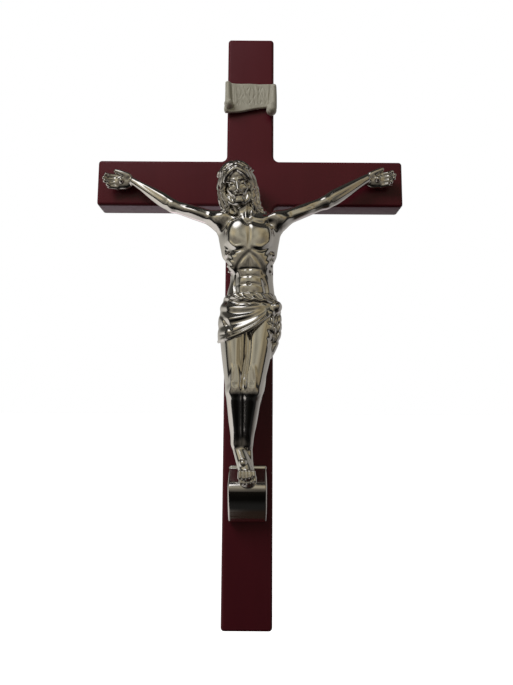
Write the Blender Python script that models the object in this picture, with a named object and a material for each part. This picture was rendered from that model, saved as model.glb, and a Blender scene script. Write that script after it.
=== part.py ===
"""Wall crucifix: a dark red cross, a bright cast figure on its footrest and a small cast scroll above it.

The model is in metres with +Z up. The cross's front faces -Y and its flat back lies in the plane Y = 0.
The origin is on the back, where the two bars cross.
"""

import math

import bmesh
import bpy
import numpy as np
import openvdb
from mathutils import Euler, Matrix

# Cross
CROSS_HEIGHT = 0.300
CROSS_SPAN = 0.158
BAR_WIDTH = 0.0243
BAR_DEPTH = 0.0125
HEAD_STUB = 0.0687
CORNER_RADIUS = 0.0017
INNER_FILLET = 0.0030
EDGE_ROUND = 0.0015
ARC_STEPS = 4
EDGE_STEPS = 3

# Hole in the back that drops over a nail or a hook
HANGING_HOLE_DIAMETER = 0.0080
HANGING_HOLE_DEPTH = 0.0060
HANGING_HOLE_RISE = 0.0480
HOLE_SIDES = 24

# Castings
FIGURE_HEIGHT = 0.155
SCROLL_WIDTH = 0.0276
SCROLL_RISE = 0.0450
CONTACT_GAP = 0.0003

# Each casting is shaped in its own units, so many to its height or width
FIGURE_UNITS = 155.0
SCROLL_UNITS = 27.6
FIGURE_GRAIN = 0.62
SCROLL_GRAIN = 0.42
FIGURE_TRIANGLES = 7400
SCROLL_TRIANGLES = 1100

CROSS_COLOUR = (0.085, 0.014, 0.018, 1.0)
BRIGHT_METAL_COLOUR = (0.62, 0.59, 0.54, 1.0)
DULL_METAL_COLOUR = (0.40, 0.38, 0.33, 1.0)

FAR = 6.0


def clear_scene():
    for obj in list(bpy.data.objects):
        bpy.data.objects.remove(obj, do_unlink=True)


def material(name, colour, roughness, metallic):
    made = bpy.data.materials.new(name)
    made.use_nodes = True
    shader = made.node_tree.nodes["Principled BSDF"]
    shader.inputs["Base Color"].default_value = colour
    shader.inputs["Roughness"].default_value = roughness
    shader.inputs["Metallic"].default_value = metallic
    return made


def show(name, mesh, finish):
    obj = bpy.data.objects.new(name, mesh)
    bpy.context.scene.collection.objects.link(obj)
    mesh.materials.append(finish)
    return obj


# Clay: a solid that grows form by form.
# A form is (low corner, high corner, distance), where distance((x, y, z)) is negative inside it.
# In the castings x runs to the viewer's right, y out from the cross's face and z up.


def smooth_least(a, b, soft):
    meet = np.maximum(soft - np.abs(a - b), 0.0)
    return np.minimum(a, b) - meet * meet / (4.0 * soft)


def eased(at, places, values):
    """A smooth curve through values, read at each number in at."""
    places = np.asarray(places, float)
    values = np.asarray(values, float)
    at = np.clip(at, places[0], places[-1])
    left = np.clip(np.searchsorted(places, at, side="right") - 1, 0, len(places) - 2)
    slopes = np.gradient(values, places)
    span = places[left + 1] - places[left]
    t = (at - places[left]) / span
    start = (1 + 2 * t) * (1 - t) ** 2 * values[left] + t * (1 - t) ** 2 * span * slopes[left]
    end = t * t * (3 - 2 * t) * values[left + 1] + t * t * (t - 1) * span * slopes[left + 1]
    return start + end


def ellipse_distance(across, radii):
    """About how far outside an ellipsoid the offsets across are."""
    near = sum((a / r) ** 2 for a, r in zip(across, radii)) + 1e-9
    steep = sum((a / (r * r)) ** 2 for a, r in zip(across, radii)) + 1e-9
    return (np.sqrt(near) - 1.0) * np.sqrt(near) / np.sqrt(steep)


def ball(centre, radii, turn=(0, 0, 0)):
    """An ellipsoid, turned by angles in degrees about x, y and z."""
    radii = (radii,) * 3 if isinstance(radii, (int, float)) else radii
    into = np.array(Euler([math.radians(a) for a in turn]).to_matrix().transposed())
    reach = max(radii)

    def distance(p):
        offset = [p[i] - centre[i] for i in range(3)]
        local = [sum(into[i, k] * offset[k] for k in range(3)) for i in range(3)]
        return ellipse_distance(local, radii)

    low = [c - reach for c in centre]
    high = [c + reach for c in centre]
    return low, high, distance


def limb(start, end, stations, depth=1.0):
    """A round-ended bar. stations are (share of its length, half width); depth scales it towards the viewer."""
    start, end = np.array(start, float), np.array(end, float)
    length = np.linalg.norm(end - start)
    along = (end - start) / length
    reference = np.array([0.0, 1.0, 0.0] if abs(along[1]) < 0.9 else [0.0, 0.0, 1.0])
    outward = reference - (reference @ along) * along
    outward /= np.linalg.norm(outward)
    side = np.cross(along, outward)
    shares = [s for s, _ in stations]
    widths = [w for _, w in stations]
    reach = max(widths) * max(1.0, depth)

    def distance(p):
        offset = [p[i] - start[i] for i in range(3)]
        run, out, across = (sum(v[i] * offset[i] for i in range(3)) for v in (along, outward, side))
        width = eased(run / length, shares, widths)
        past = np.maximum(-run, 0.0) + np.maximum(run - length, 0.0)
        return ellipse_distance((across, out, past), (width, width * depth, width))

    return np.minimum(start, end) - reach, np.maximum(start, end) + reach, distance


def column(stations, power=2.0):
    """An upright form. stations are (z, centre x, half width, centre y, half depth), from the top down."""
    z, cx, width, cy, depth = (np.array(row[::-1], float) for row in zip(*stations))

    def distance(p):
        wide, deep = eased(p[2], z, width), eased(p[2], z, depth)
        x = np.abs(p[0] - eased(p[2], z, cx)) / wide
        y = np.abs(p[1] - eased(p[2], z, cy)) / deep
        around = ((x**power + y**power + 1e-9) ** (1 / power) - 1.0) * np.minimum(wide, deep)
        past = np.maximum(p[2] - z[-1], z[0] - p[2])
        return np.maximum(around, past)

    low = [(cx - width).min(), (cy - depth).min(), z[0]]
    high = [(cx + width).max(), (cy + depth).max(), z[-1]]
    return low, high, distance


def curve_through(points, pieces=6):
    """Points of a smooth curve through a few."""
    points = np.array(points, float)
    at = np.linspace(0, len(points) - 1, pieces * (len(points) - 1) + 1)
    return np.stack([eased(at, range(len(points)), points[:, i]) for i in range(points.shape[1])], axis=1)


def distance_to_path(coordinates, path):
    """Distance to an open path, and how far along it the nearest point is, from 0 to 1."""
    nearest, share = FAR * FAR, 0.0
    for i, (a, b) in enumerate(zip(path[:-1], path[1:])):
        run = b - a
        offset = [c - a[k] for k, c in enumerate(coordinates)]
        t = np.clip(sum(offset[k] * run[k] for k in range(len(a))) / (run @ run), 0, 1)
        gap = sum((offset[k] - t * run[k]) ** 2 for k in range(len(a)))
        share = np.where(gap < nearest, (i + t) / (len(path) - 1), share)
        nearest = np.minimum(gap, nearest)
    return np.sqrt(nearest), share


def strand(points, thickness, taper=0.5):
    """A rope or a lock along a smooth path, thinner at its ends by taper."""
    path = curve_through(points, 4)

    def distance(p):
        gap, share = distance_to_path(p, path)
        return gap - thickness * (1.0 - taper * np.abs(2.0 * share - 1.0) ** 2)

    return path.min(0) - thickness, path.max(0) + thickness, distance


def placed(form, centre, turn, size):
    """A form in a part's own coordinates, scaled by size, turned by the matrix turn and moved to centre."""
    low, high, inner = form
    corners = np.array([[(low, high)[i >> k & 1][k] for k in range(3)] for i in range(8)])
    corners = size * corners @ turn.T + centre

    def distance(p):
        offset = [(p[i] - centre[i]) / size for i in range(3)]
        return size * inner([sum(turn[i, k] * offset[i] for i in range(3)) for k in range(3)])

    return corners.min(0), corners.max(0), distance


class Clay:
    """Steps that build a solid, in order. Each is (low corner, high corner, change)."""

    def __init__(self):
        self.steps = []

    def step(self, low, high, margin, change):
        self.steps.append((np.array(low, float) - margin, np.array(high, float) + margin, change))

    def join(self, form, soft=0.6):
        low, high, distance = form
        self.step(low, high, soft + 1.5, lambda p, v: smooth_least(v, distance(p), soft))

    def carve(self, form, soft=0.5):
        low, high, distance = form
        self.step(low, high, soft + 1.5, lambda p, v: -smooth_least(-v, distance(p), soft))

    def line(self, points, width, height, low_y=8.0, high_y=40.0):
        """Raises a ridge, or cuts a groove where height is negative, along a path in the front view (x, z)."""
        path = curve_through(points)

        def change(p, value):
            gap, share = distance_to_path((p[0], p[2]), path)
            return value - height * np.exp(-((gap / width) ** 2)) * np.sin(np.pi * (0.08 + 0.84 * share)) ** 0.7

        low = [path[:, 0].min(), low_y, path[:, 1].min()]
        high = [path[:, 0].max(), high_y, path[:, 1].max()]
        self.step(low, high, 2.2 * width, change)

    def sampled(self, low, high, grain):
        axes = [np.arange(a, b + grain, grain) for a, b in zip(low, high)]
        value = np.full([len(axis) for axis in axes], FAR, float)
        for box_low, box_high, change in self.steps:
            cut = tuple(
                slice(*np.searchsorted(axis, (a, b))) for axis, a, b in zip(axes, box_low, box_high)
            )
            block = value[cut]
            if block.size:
                points = np.meshgrid(*(axis[c] for axis, c in zip(axes, cut)), indexing="ij", sparse=True)
                value[cut] = change(points, block)
        return value

    def mesh(self, name, low, high, grain, unit, place):
        """The clay's skin as a mesh. One unit of clay is unit metres, and place is its origin."""
        value = np.clip(self.sampled(low, high, grain), -FAR, FAR)
        grid = openvdb.FloatGrid(FAR)
        grid.copyFromArray(value.astype(np.float32))
        points, _, quads = grid.convertToPolygons(0.0)
        local = np.array(low) + np.array(points) * grain
        # Clay y points out from the cross, which is the model's -Y, so the faces turn round with it.
        world = local * (unit, -unit, unit) + np.array(place)
        return closed_skin(name, world, np.array(quads))


def closed_skin(name, points, quads):
    """A mesh of the largest shell of the quads, facing outwards."""
    made = bmesh.new()
    verts = [made.verts.new(point) for point in points.tolist()]
    for quad in quads.tolist():
        made.faces.new([verts[i] for i in quad])
    made.verts.index_update()
    shell = np.full(len(verts), -1)
    for seed in verts:
        if shell[seed.index] >= 0:
            continue
        shell[seed.index] = seed.index
        front = [seed]
        while front:
            for edge in front.pop().link_edges:
                for vert in edge.verts:
                    if shell[vert.index] < 0:
                        shell[vert.index] = seed.index
                        front.append(vert)
    largest = np.bincount(shell).argmax()
    bmesh.ops.delete(made, geom=[v for v in verts if shell[v.index] != largest], context="VERTS")
    if made.calc_volume(signed=True) < 0:
        bmesh.ops.reverse_faces(made, faces=made.faces)
    mesh = bpy.data.meshes.new(name)
    made.to_mesh(mesh)
    made.free()
    return mesh


# Figure


# The head follows the usual canon: seven and a half heads to the figure, and a face of three equal
# thirds with half a third of skull above. Its own coordinates start at the middle of the eye line.
HEAD_HEIGHT = FIGURE_UNITS / 7.5
FACE_THIRD = HEAD_HEIGHT / 3.5
CHIN = -HEAD_HEIGHT / 2
NOSE_BASE = CHIN + FACE_THIRD
BROW = NOSE_BASE + FACE_THIRD
MOUTH = NOSE_BASE - FACE_THIRD / 3
HALF_FACE = HEAD_HEIGHT / 3
EYE_WIDTH = 2 * HALF_FACE / 5

HEAD_CENTRE = np.array([-6.1, 12.4, -7.4])
HEAD_LEAN = 8.0
HEAD_BOW = 12.0


# Each lock: points along it, in the head's own coordinates, and its thickness.
HAIR_LOCKS = (
    ([(-4.8, 6.3, 5.8), (-6.7, 4.8, 1.6), (-7.3, 4.1, -3.5), (-5.8, 4.8, -8.0), (-6.8, 4.8, -12.5)], 1.5),
    ([(-5.8, 3.2, 6.5), (-8.1, 1.3, 1.1), (-8.5, 0.9, -4.3), (-7.8, 1.5, -9.7), (-7.4, 2.6, -13.4)], 1.8),
    ([(-5.4, -1.1, 6.5), (-7.8, -2.8, 0.0), (-7.8, -3.0, -6.5), (-6.9, -1.7, -13.0)], 2.3),
    ([(4.8, 6.3, 5.8), (6.5, 5.1, 1.1), (6.9, 4.5, -4.3), (6.8, 4.8, -9.7), (8.0, 4.5, -14.0)], 1.5),
    ([(5.8, 3.2, 6.5), (8.2, 1.7, 1.1), (8.9, 1.3, -5.4), (9.1, 1.9, -10.8), (10.6, 2.4, -14.7)], 1.8),
    ([(5.4, -1.1, 6.5), (7.8, -2.8, 0.0), (8.2, -3.0, -6.5), (8.4, -1.7, -13.0)], 2.3),
)


def head_turn():
    lean = Matrix.Rotation(math.radians(-HEAD_LEAN), 3, "Y")
    bow = Matrix.Rotation(math.radians(-HEAD_BOW), 3, "X")
    return np.array(lean @ bow)


def add_head(clay):
    """Skull, face, beard and hair. In the head's own coordinates y points out of the face and z up."""
    turn = head_turn()

    def put(form, soft=0.5):
        clay.join(placed(form, HEAD_CENTRE, turn, 1.0), soft)

    def cut(form, soft=0.4):
        clay.carve(placed(form, HEAD_CENTRE, turn, 1.0), soft)

    put(ball((0, -0.8, HEAD_HEIGHT / 2 - 7.3), (HALF_FACE, 8.4, 7.3)), 1.0)
    put(ball((0, 2.8, -3.0), (0.78 * HALF_FACE, 5.3, 7.0)), 1.5)
    put(ball((0, 5.3, BROW + 0.4 * FACE_THIRD), (0.7 * HALF_FACE, 2.5, 0.5 * FACE_THIRD)), 1.2)
    for side in (-1, 1):
        eye = side * EYE_WIDTH
        put(ball((1.25 * eye, 5.5, 0.6 * NOSE_BASE), (1.9, 1.9, 1.7)), 1.0)
        put(limb((side * 0.9, 7.5, BROW), (1.6 * eye, 6.3, BROW - 0.2), [(0, 0.75), (1, 0.6)]), 0.8)
        cut(ball((eye, 8.4, 0.0), (0.65 * EYE_WIDTH, 1.5, 1.1)), 0.7)
        put(ball((eye, 6.4, -0.1), (0.52 * EYE_WIDTH, 1.3, 1.0)), 0.3)
    put(limb((0, 7.5, BROW - 0.5), (0, 9.3, NOSE_BASE + 0.8), [(0, 0.65), (0.7, 0.85), (1, 1.0)]), 0.5)
    for side in (-1, 1):
        put(ball((side * 0.36 * EYE_WIDTH, 8.1, NOSE_BASE + 0.6), 0.72), 0.4)
    put(limb((-0.55 * EYE_WIDTH, 7.5, MOUTH), (0.55 * EYE_WIDTH, 7.5, MOUTH), [(0, 0.45), (0.5, 0.7), (1, 0.45)]), 0.4)
    put(ball((0, 6.0, CHIN + 1.9), (3.2, 2.6, 2.5)), 0.8)
    for side in (-1, 1):
        upper = [(side * 0.2, 8.2, NOSE_BASE - 0.9), (side * 1.6, 7.9, MOUTH + 1.0), (side * 2.9, 7.0, MOUTH + 0.4)]
        put(strand(upper, 0.65), 0.4)
        jaw = [(side * 4.7, 4.4, NOSE_BASE + 0.2), (side * 4.2, 5.7, MOUTH - 1.4), (side * 1.1, 6.6, CHIN + 0.4)]
        put(strand(jaw, 1.3), 0.6)
    add_hair(put)
    add_thorns(put)


def add_hair(put):
    """Long locks that part at the brow and fall beside the face to the shoulders."""
    put(ball((0, -1.8, 3.6), (8.7, 8.7, 9.0)), 0.5)
    for side in (-1, 1):
        parting = [(side * 0.6, 7.7, 6.8), (side * 3.5, 7.5, 4.6), (side * 5.7, 6.1, 1.8)]
        put(strand(parting, 1.3, 0.3), 0.4)
    for points, thickness in HAIR_LOCKS:
        put(strand(points, thickness, 0.35), 0.4)


def add_thorns(put):
    """The crown: two stems that wind round each other about the brow."""
    turns, stem = 7, 0.85
    around = np.linspace(0, 2 * math.pi, 12 * turns + 1)
    for start in (0.0, math.pi):
        winding = turns * around + start
        swell = 1 + 0.06 * np.cos(winding)
        ring = np.stack(
            [8.2 * swell * np.sin(around), 8.9 * swell * np.cos(around) - 1.6, 6.3 + 0.8 * np.sin(winding)], axis=1
        )
        low, high = ring.min(0) - stem, ring.max(0) + stem
        put((low, high, lambda p, path=ring: distance_to_path(p, path)[0] - stem), 0.3)


def add_torso(clay):
    clay.join(
        column(
            [
                (-20.0, 0.0, 7.0, 9.5, 4.5),
                (-25.0, 0.0, 12.6, 9.6, 6.9),
                (-32.0, 0.0, 12.9, 9.8, 8.2),
                (-40.0, 0.3, 12.0, 9.8, 8.4),
                (-47.0, 0.9, 11.0, 9.4, 7.7),
                (-54.0, 1.4, 10.4, 9.0, 7.0),
                (-60.0, 1.0, 11.4, 9.0, 7.4),
                (-68.0, 0.5, 13.0, 9.2, 7.8),
                (-76.0, 0.2, 13.0, 9.2, 7.8),
            ],
            power=2.05,
        ),
        1.5,
    )
    clay.join(limb((-3.0, 12.0, -17.0), (-0.6, 9.6, -27.0), [(0, 4.3), (0.6, 4.2), (1, 5.5)]), 2.5)
    clay.join(limb((-8.4, 10.0, -11.0), (-9.2, 10.4, -21.0), [(0, 3.4), (1, 3.6)]), 1.6)
    for side in (-1, 1):
        clay.join(ball((side * 5.1, 14.9, -33.8), (5.6, 2.7, 7.4), (0, side * 8, 0)), 2.4)
        clay.join(ball((side * 5.2, 13.9, -45.6), (5.0, 2.8, 5.4), (0, side * -20, 0)), 2.6)
        clay.join(limb((side * 2.6 - 3.2, 8.4, -13.5), (side * 8.6, 8.8, -23.5), [(0, 3.6), (1, 3.2)]), 1.6)
        clay.join(limb((side * 1.8, 14.6, -26.0), (side * 12.0, 13.4, -23.0), [(0, 1.2), (0.5, 1.0), (1, 1.3)]), 1.4)
    clay.join(ball((0.8, 13.0, -56.5), (6.4, 3.6, 10.0)), 2.0)


def add_arms(clay):
    """Upper arms, forearms and hands. Each arm is listed by its joints, from the shoulder out."""
    joints = {
        -1: ((-14.5, 9.8, -24.0), (-38.0, 8.2, -15.9), (-59.3, 4.4, -1.6)),
        1: ((14.5, 9.8, -23.6), (38.0, 8.2, -13.5), (59.0, 4.8, 0.2)),
    }
    forearms = {
        -1: [(0, 3.2), (0.2, 3.6), (0.45, 3.2), (0.8, 2.3), (1, 1.9)],
        1: [(0, 3.4), (0.2, 3.8), (0.45, 3.5), (0.8, 2.8), (1, 2.4)],
    }
    for side, (shoulder, elbow, wrist) in joints.items():
        clay.join(ball((side * 14.2, 10.2, -24.2), (5.0, 4.8, 4.4)), 2.6)
        clay.join(limb(shoulder, elbow, [(0, 4.0), (0.25, 3.6), (0.55, 3.4), (0.85, 3.1), (1, 3.2)], 1.05), 3.4)
        clay.join(limb(elbow, wrist, forearms[side], 0.95), 1.2)
        clay.join(limb((side * 12.6, 8.6, -27.0), (side * 10.8, 9.0, -41.0), [(0, 2.7), (1, 1.6)]), 4.5)
    add_hand(clay, -1, (-59.0, 4.2, -1.4), 2.0)
    add_hand(clay, 1, (58.6, 4.4, -0.4), 7.0)


def add_hand(clay, side, wrist, lift):
    """An open hand with its palm to the viewer and a nail through it. lift turns it up, in degrees."""
    angle = math.radians(lift)
    along = np.array([side * math.cos(angle), 0.0, math.sin(angle)])
    across = np.array([-side * math.sin(angle), 0.0, math.cos(angle)])
    root = np.array([wrist[0], 0.0, wrist[2]])

    def at(run, rise, out):
        return root + run * along + rise * across + np.array([0.0, out, 0.0])

    clay.join(limb(at(0.2, 0, 3.4), at(7.2, 0.2, 2.6), [(0, 2.1), (0.4, 3.7), (1, 4.2)], 0.52), 1.0)
    clay.join(ball(at(3.4, 2.2, 4.0), (2.6, 1.6, 1.6)), 0.8)
    clay.join(limb(at(3.0, 2.8, 4.2), at(9.2, 4.7, 4.6), [(0, 1.6), (0.5, 1.5), (1, 1.15)]), 0.4)
    for finger in range(4):
        rise = 2.7 - 1.9 * finger
        reach = (14.6, 15.6, 15.0, 13.4)[finger]
        knuckle, middle, tip = at(8.4, rise, 2.8), at(12.6, 0.98 * rise, 3.6), at(reach - 0.8, 0.88 * rise, 5.6)
        clay.join(limb(knuckle, middle, [(0, 1.25), (1, 1.2)]), 0.35)
        clay.join(limb(middle, tip, [(0, 1.2), (1, 1.0)]), 0.3)
    clay.join(limb(at(6.2, -0.2, 0.4), at(6.2, -0.2, 4.9), [(0, 1.5), (1, 1.5)]), 0.25)


def add_legs(clay):
    """Each leg by its joints, how far its flank lies outwards and how broad its shin is."""
    legs = (
        (-1, (-6.4, 9.6, -72.0), (-5.6, 17.4, -107.6), (-4.7, 8.6, -131.6), 0.8, 0.4),
        (1, (6.4, 9.6, -72.0), (1.8, 17.6, -107.6), (-0.4, 8.2, -132.0), 1.9, 0.9),
    )
    for side, hip, knee, ankle, flank, breadth in legs:
        for muscle in (-1.0, 1.0):
            upper = (hip[0] + 1.6 * muscle, hip[1] + 0.8, hip[2])
            middle = (knee[0] + breadth * muscle, knee[1] + 0.1, knee[2])
            lower = (ankle[0] + 0.3 * muscle, ankle[1], ankle[2])
            clay.join(limb(upper, middle, [(0, 6.0), (0.35, 5.8), (0.7, 4.9), (1, 4.0)]), 1.0)
            clay.join(limb(middle, lower, [(0, 4.0), (0.3, 3.6), (0.6, 3.0), (0.9, 2.4), (1, 2.5)]), 1.2)
        back = (knee[0] + side * flank, knee[1] - 5.6, knee[2] + 2.0)
        clay.join(limb((hip[0] + side * 0.6, 8.0, -74.0), back, [(0, 6.4), (0.5, 5.2), (1, 3.9)]), 1.6)
        calf = (knee[0] + side * flank, knee[1] - 5.8, knee[2] + 4.0)
        clay.join(limb(calf, ankle, [(0, 3.5), (0.35, 3.9), (0.6, 3.3), (0.85, 2.4), (1, 2.3)]), 2.4)
    clay.join(limb((0.0, 9.0, -78.0), (-1.8, 12.6, -106.0), [(0, 5.0), (1, 3.4)]), 1.6)
    clay.join(limb((-1.9, 14.8, -106.0), (-2.5, 7.8, -130.0), [(0, 2.8), (1, 2.2)]), 1.2)


def add_feet(clay):
    """Crossed feet with one nail: the lower one first, then the one that lies over it."""
    lower_toes = (0.3, 11.6, -147.4)
    upper_toes = (-0.2, 13.6, -144.9)
    clay.join(limb((-0.5, 7.6, -133.4), lower_toes, [(0, 2.9), (0.5, 2.9), (1, 3.6)], 0.7), 1.0)
    clay.join(limb((-4.6, 8.8, -133.0), upper_toes, [(0, 2.7), (0.5, 3.1), (1, 3.4)], 0.72), 0.8)
    clay.join(ball((0.3, 10.8, -149.0), (3.8, 2.2, 2.6)), 0.6)
    for toes, out in ((lower_toes, 2.3), (upper_toes, 2.0)):
        for toe in range(5):
            spread = 1.55 * (toe - 2)
            start = (toes[0] + spread, toes[1] + out - 0.3, toes[2] + 1.0)
            end = (toes[0] + 1.04 * spread, toes[1] + out + 0.2, toes[2] - 1.6 + 0.12 * (toe - 1) ** 2)
            clay.join(limb(start, end, [(0, 0.95), (1, 0.95)]), 0.12)
    clay.join(ball((-2.0, 13.8, -140.2), (1.8, 1.5, 1.8)), 0.2)


def add_loincloth(clay):
    """Cloth wound about the hips, with a rolled waist and a hem that climbs to the viewer's right."""
    low, high, wound = column(
        [
            (-61.5, 0.8, 12.2, 9.4, 8.2),
            (-66.0, 0.6, 14.0, 9.6, 9.2),
            (-72.0, 0.4, 14.7, 9.8, 9.9),
            (-78.0, 0.0, 14.7, 10.2, 10.0),
            (-86.0, -0.4, 14.0, 10.6, 10.0),
        ],
        power=2.2,
    )
    hem = np.array([(-16, -84.2), (-12.4, -83.4), (-3.8, -81.2), (2, -78.0), (8.3, -73.4), (12, -71.6), (17, -71.0)])

    def distance(p):
        return np.maximum(wound(p), 0.85 * (eased(p[0], hem[:, 0], hem[:, 1]) - p[2]))

    clay.join((low, high, distance), 0.5)
    waist = [(-11.0, 9.4, -63.6), (-9.0, 15.6, -63.9), (-2.0, 18.4, -65.0), (6.5, 17.6, -65.4), (12.6, 13.4, -65.8)]
    clay.join(strand(waist, 1.6, 0.3), 0.5)
    edge = [
        (-14.2, 9.5, -84.0),
        (-11.0, 17.3, -83.6),
        (-3.8, 20.2, -81.2),
        (2.4, 20.0, -77.8),
        (8.3, 18.0, -73.2),
        (12.4, 14.4, -70.6),
    ]
    clay.join(strand(edge, 1.0, 0.3), 0.4)


def add_knot(clay):
    """The knot at the viewer's right and the loose end of the cloth that hangs from it."""
    clay.join(ball((12.9, 13.2, -67.8), (3.0, 3.4, 3.2), (0, 30, 0)), 0.6)
    folds = [(13.6, 11.0, -69.0), (13.4, 11.6, -74.5), (13.0, 11.2, -80.0), (11.6, 11.0, -85.5), (9.8, 11.0, -90.4)]
    clay.join(strand(folds, 2.7, 0.3), 0.6)
    inner = [(12.2, 14.2, -69.5), (11.2, 15.4, -75.0), (11.4, 15.0, -80.5), (9.6, 14.6, -86.0)]
    clay.join(strand(inner, 1.7, 0.4), 0.5)


BODY_LINES = (
    (((-10.9, -38.0), (-7.1, -41.0), (-2.6, -40.6)), 0.9, -0.55),
    (((1.6, -40.6), (6.2, -41.2), (10.4, -38.4)), 0.9, -0.55),
    (((0.1, -28.5), (0.2, -34.0), (0.0, -39.5)), 0.8, -0.35),
    (((0.2, -44.5), (0.2, -49.0), (0.1, -55.0)), 0.8, -0.25),
    (((0.0, -42.2), (-2.9, -44.9), (-5.2, -48.6), (-6.0, -52.0)), 0.9, -0.5),
    (((0.4, -42.2), (3.5, -44.9), (5.9, -48.5), (6.8, -52.0)), 0.9, -0.5),
    (((-4.8, -50.2), (0.4, -49.8), (5.6, -50.2)), 0.6, -0.35),
    (((-4.8, -53.6), (0.4, -53.2), (5.8, -53.6)), 0.6, -0.3),
    (((-5.6, -53.0), (-6.2, -58.0), (-5.2, -62.6)), 0.9, -0.6),
    (((6.6, -54.6), (7.8, -58.6), (8.4, -62.2)), 0.8, -0.6),
)
RIB_TOPS = (-39.8, -42.7, -45.5, -48.4)

CLOTH_FOLDS = (
    ((11.2, -66.2), (3.1, -66.8), (-5.8, -66.8), (-12.8, -64.8)),
    ((10.4, -67.8), (1.7, -70.6), (-5.7, -71.2), (-13.7, -70.0)),
    ((9.9, -68.8), (0.8, -74.0), (-7.6, -76.6), (-13.6, -77.8)),
)


def carve_body_lines(clay):
    for points, width, height in BODY_LINES:
        clay.line(points, width, height, low_y=10.5, high_y=24)
    for side in (-1, 1):
        for step, top in enumerate(RIB_TOPS):
            inner = 7.2 + 0.5 * step
            shift = 0.5 + 0.1 * step
            points = (
                (side * 11.6 + shift, top - 0.4),
                (side * (inner + 2.4) + shift, top - 1.6),
                (side * inner + shift, top - 3.4),
            )
            clay.line(points, 0.65, -0.4, low_y=8.0, high_y=24)
    clay.carve(ball((0.0, 17.4, -57.0), (0.8, 1.3, 1.0)), 0.4)
    clay.line(((-2.8, -25.6), (-0.8, -27.6), (1.4, -25.6)), 0.9, -0.6, low_y=9.0, high_y=20)
    clay.line(((0.6, -81.0), (0.0, -91.0), (-1.4, -101.0)), 0.9, -0.9, low_y=14.0, high_y=30)


def carve_cloth_folds(clay):
    for points in CLOTH_FOLDS:
        clay.line(points, 1.6, -0.85, low_y=9.5, high_y=26)


def add_footrest(clay):
    """The block under the feet: its top slopes down to a lip and its bulging front falls back to the cross."""
    half_width, middle = 9.0, 0.1
    top = math.radians(29.5)

    def distance(p):
        above = (p[2] + 142.9) * math.cos(top) + p[1] * math.sin(top)
        before = np.sqrt((p[1] + 19.6) ** 2 + (p[2] + 144.8) ** 2) - 32.9
        beside = np.abs(p[0] - middle) - half_width
        below = -(p[2] + 168.8)
        shape = -smooth_least(-above, -before, 3.2)
        shape = -smooth_least(-shape, -beside, 1.0)
        return -smooth_least(-shape, -below, 0.8)

    low, high = (middle - half_width, 0.0, -168.8), (middle + half_width, 14.6, -142.0)
    clay.join((low, high, distance), 0.4)
    clay.join(limb((middle - 7.9, 0.9, -143.6), (middle + 7.9, 0.9, -143.6), [(0, 1.1), (1, 1.1)]), 0.6)


def flatten_back(clay, low, high):
    clay.step(low, high, 0.0, lambda p, v: np.maximum(v, -p[1]))


def figure(low, high):
    clay = Clay()
    add_torso(clay)
    add_arms(clay)
    add_legs(clay)
    carve_body_lines(clay)
    add_loincloth(clay)
    carve_cloth_folds(clay)
    add_knot(clay)
    add_head(clay)
    add_footrest(clay)
    add_feet(clay)
    flatten_back(clay, low, high)
    return clay


# Scroll


def scroll(low, high):
    """A sheet whose upright edges roll forward. The right roll hangs below the sheet."""
    clay = Clay()
    top = np.array([(-13.6, 9.6), (-9.0, 9.1), (2.0, 8.9), (13.8, 8.3)])
    bottom = np.array([(-13.6, -7.3), (-8.0, -7.2), (0.0, -5.7), (8.0, -4.4), (13.8, -4.0)])

    def sheet(p):
        middle = 1.0 + 0.5 * (p[0] / 13.0) ** 2 + 0.12 * np.cos(0.55 * p[0] + 0.1 * p[2])
        over = p[2] - eased(p[0], top[:, 0], top[:, 1])
        under = eased(p[0], bottom[:, 0], bottom[:, 1]) - p[2]
        beside = np.abs(p[0]) - 13.2
        rim = np.maximum(np.maximum(over, under), beside)
        return -smooth_least(-rim, -(np.abs(p[1] - middle) - 0.85), 0.8)

    clay.join(((-13.6, 0.0, -8.0), (13.8, 2.8, 10.0), sheet), 0.3)
    left = [(0, 1.2), (0.5, 1.4), (1, 1.7)]
    clay.join(limb((-11.9, 1.8, 8.8), (-11.5, 2.0, -1.6), left), 0.7)
    clay.join(ball((-11.3, 2.8, -3.2), (2.4, 2.4, 2.4)), 0.4)
    clay.join(ball((-12.6, 1.6, -5.4), (1.3, 1.3, 2.0)), 0.5)
    right = [(0, 1.4), (0.4, 1.7), (1, 1.9)]
    clay.join(limb((12.1, 1.6, 7.0), (11.9, 2.0, -4.6), right), 0.8)
    clay.join(limb((11.0, 2.3, -4.4), (10.9, 2.8, -6.6), [(0, 2.2), (1, 2.7)]), 0.4)
    clay.line(((-9.9, 8.0), (-9.7, 3.0), (-9.4, -3.0)), 0.5, -0.45, low_y=0.8, high_y=6.0)
    clay.line(((10.2, 7.4), (9.8, 2.0), (9.4, -3.4)), 0.5, -0.35, low_y=0.8, high_y=6.0)
    flatten_back(clay, low, high)
    return clay


# Cross


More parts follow.
